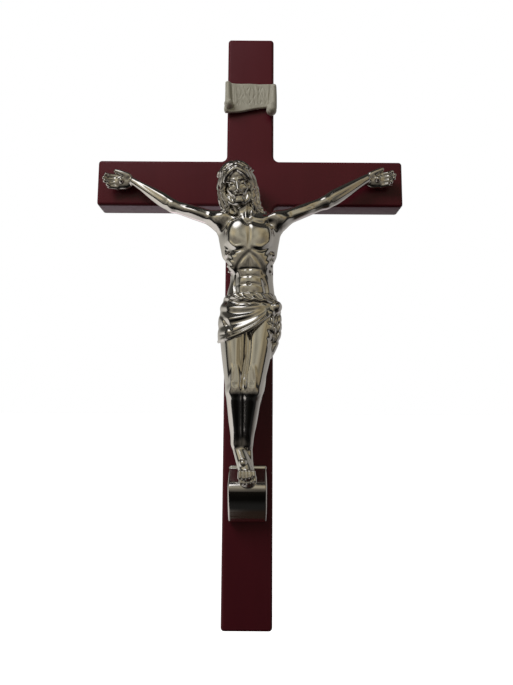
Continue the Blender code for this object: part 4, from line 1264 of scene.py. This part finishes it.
class CRUCIFIX_OT_stage(bpy.types.Operator):
    """Sets the camera, the soft light, the room's light and a pale floor"""

    bl_idname = "crucifix.stage"
    bl_label = "Stage"

    def execute(self, context):
        size = context.scene.crucifix.stage
        lens = bpy.data.cameras.new("front_camera")
        lens.sensor_fit = "AUTO"
        lens.sensor_width = 36.0
        lens.lens = size.camera_lens
        lens.clip_start = 0.01
        camera = bpy.data.objects.new("front_camera", lens)
        context.scene.collection.objects.link(camera)
        pitch = Matrix.Rotation(math.pi / 2 + size.camera_pitch, 4, "X")
        roll = Matrix.Rotation(size.camera_roll, 4, "Z")
        camera.matrix_world = Matrix.Translation(size.camera_place) @ (pitch @ roll)
        context.scene.camera = camera
        world = bpy.data.worlds.new("room")
        context.scene.world = world
        room_light(world)
        context.scene.view_settings.view_transform = "Standard"
        soft_light("window_light", (-0.30, -0.28, 0.34), 0.30, size.key_power)
        made = bmesh.new()
        bmesh.ops.create_grid(made, x_segments=1, y_segments=1, size=FLOOR_REACH)
        mesh = mesh_from(made, "floor")
        floor = bpy.data.objects.new("floor", mesh)
        context.scene.collection.objects.link(floor)
        floor.location.z = CROSS_LOW[2] - size.floor_drop
        paint, tree, shader = finish("pale_floor")
        pale, white = (0.9, 0.9, 0.9, 1.0), (1.0, 1.0, 1.0, 1.0)
        feed(tree, shader, {"Base Color": pale, "Roughness": 0.9})
        feed(tree, shader, {"Emission Color": white, "Emission Strength": 1.0})
        mesh.materials.append(paint)
        floor.visible_glossy = False
        floor.visible_diffuse = False
        return {"FINISHED"}


class CRUCIFIX_PT_panel(bpy.types.Panel):
    """Buttons for each piece and the stage"""

    bl_idname = "CRUCIFIX_PT_panel"
    bl_label = "Wall Crucifix"
    bl_space_type = "VIEW_3D"
    bl_region_type = "UI"
    bl_category = "Crucifix"

    def draw(self, context):
        settings = context.scene.crucifix
        for group, button in (
            (settings.cross, "crucifix.cross"),
            (settings.figure, "crucifix.figure"),
            (settings.scroll, "crucifix.scroll"),
            (settings.stage, "crucifix.stage"),
        ):
            box = self.layout.box()
            for name in group.__annotations__:
                box.prop(group, name)
            box.operator(button)


CLASSES = (
    CrossSettings,
    FigureSettings,
    ScrollSettings,
    StageSettings,
    CrucifixSettings,
    CRUCIFIX_OT_cross,
    CRUCIFIX_OT_figure,
    CRUCIFIX_OT_scroll,
    CRUCIFIX_OT_stage,
    CRUCIFIX_PT_panel,
)


def register():
    for cls in CLASSES:
        bpy.utils.register_class(cls)
    bpy.types.Scene.crucifix = PointerProperty(type=CrucifixSettings)


def unregister():
    del bpy.types.Scene.crucifix
    for cls in reversed(CLASSES):
        bpy.utils.unregister_class(cls)


def main():
    register()
    bpy.ops.crucifix.cross()
    bpy.ops.crucifix.figure()
    bpy.ops.crucifix.scroll()
    bpy.ops.crucifix.stage()


if __name__ == "__main__":
    main()
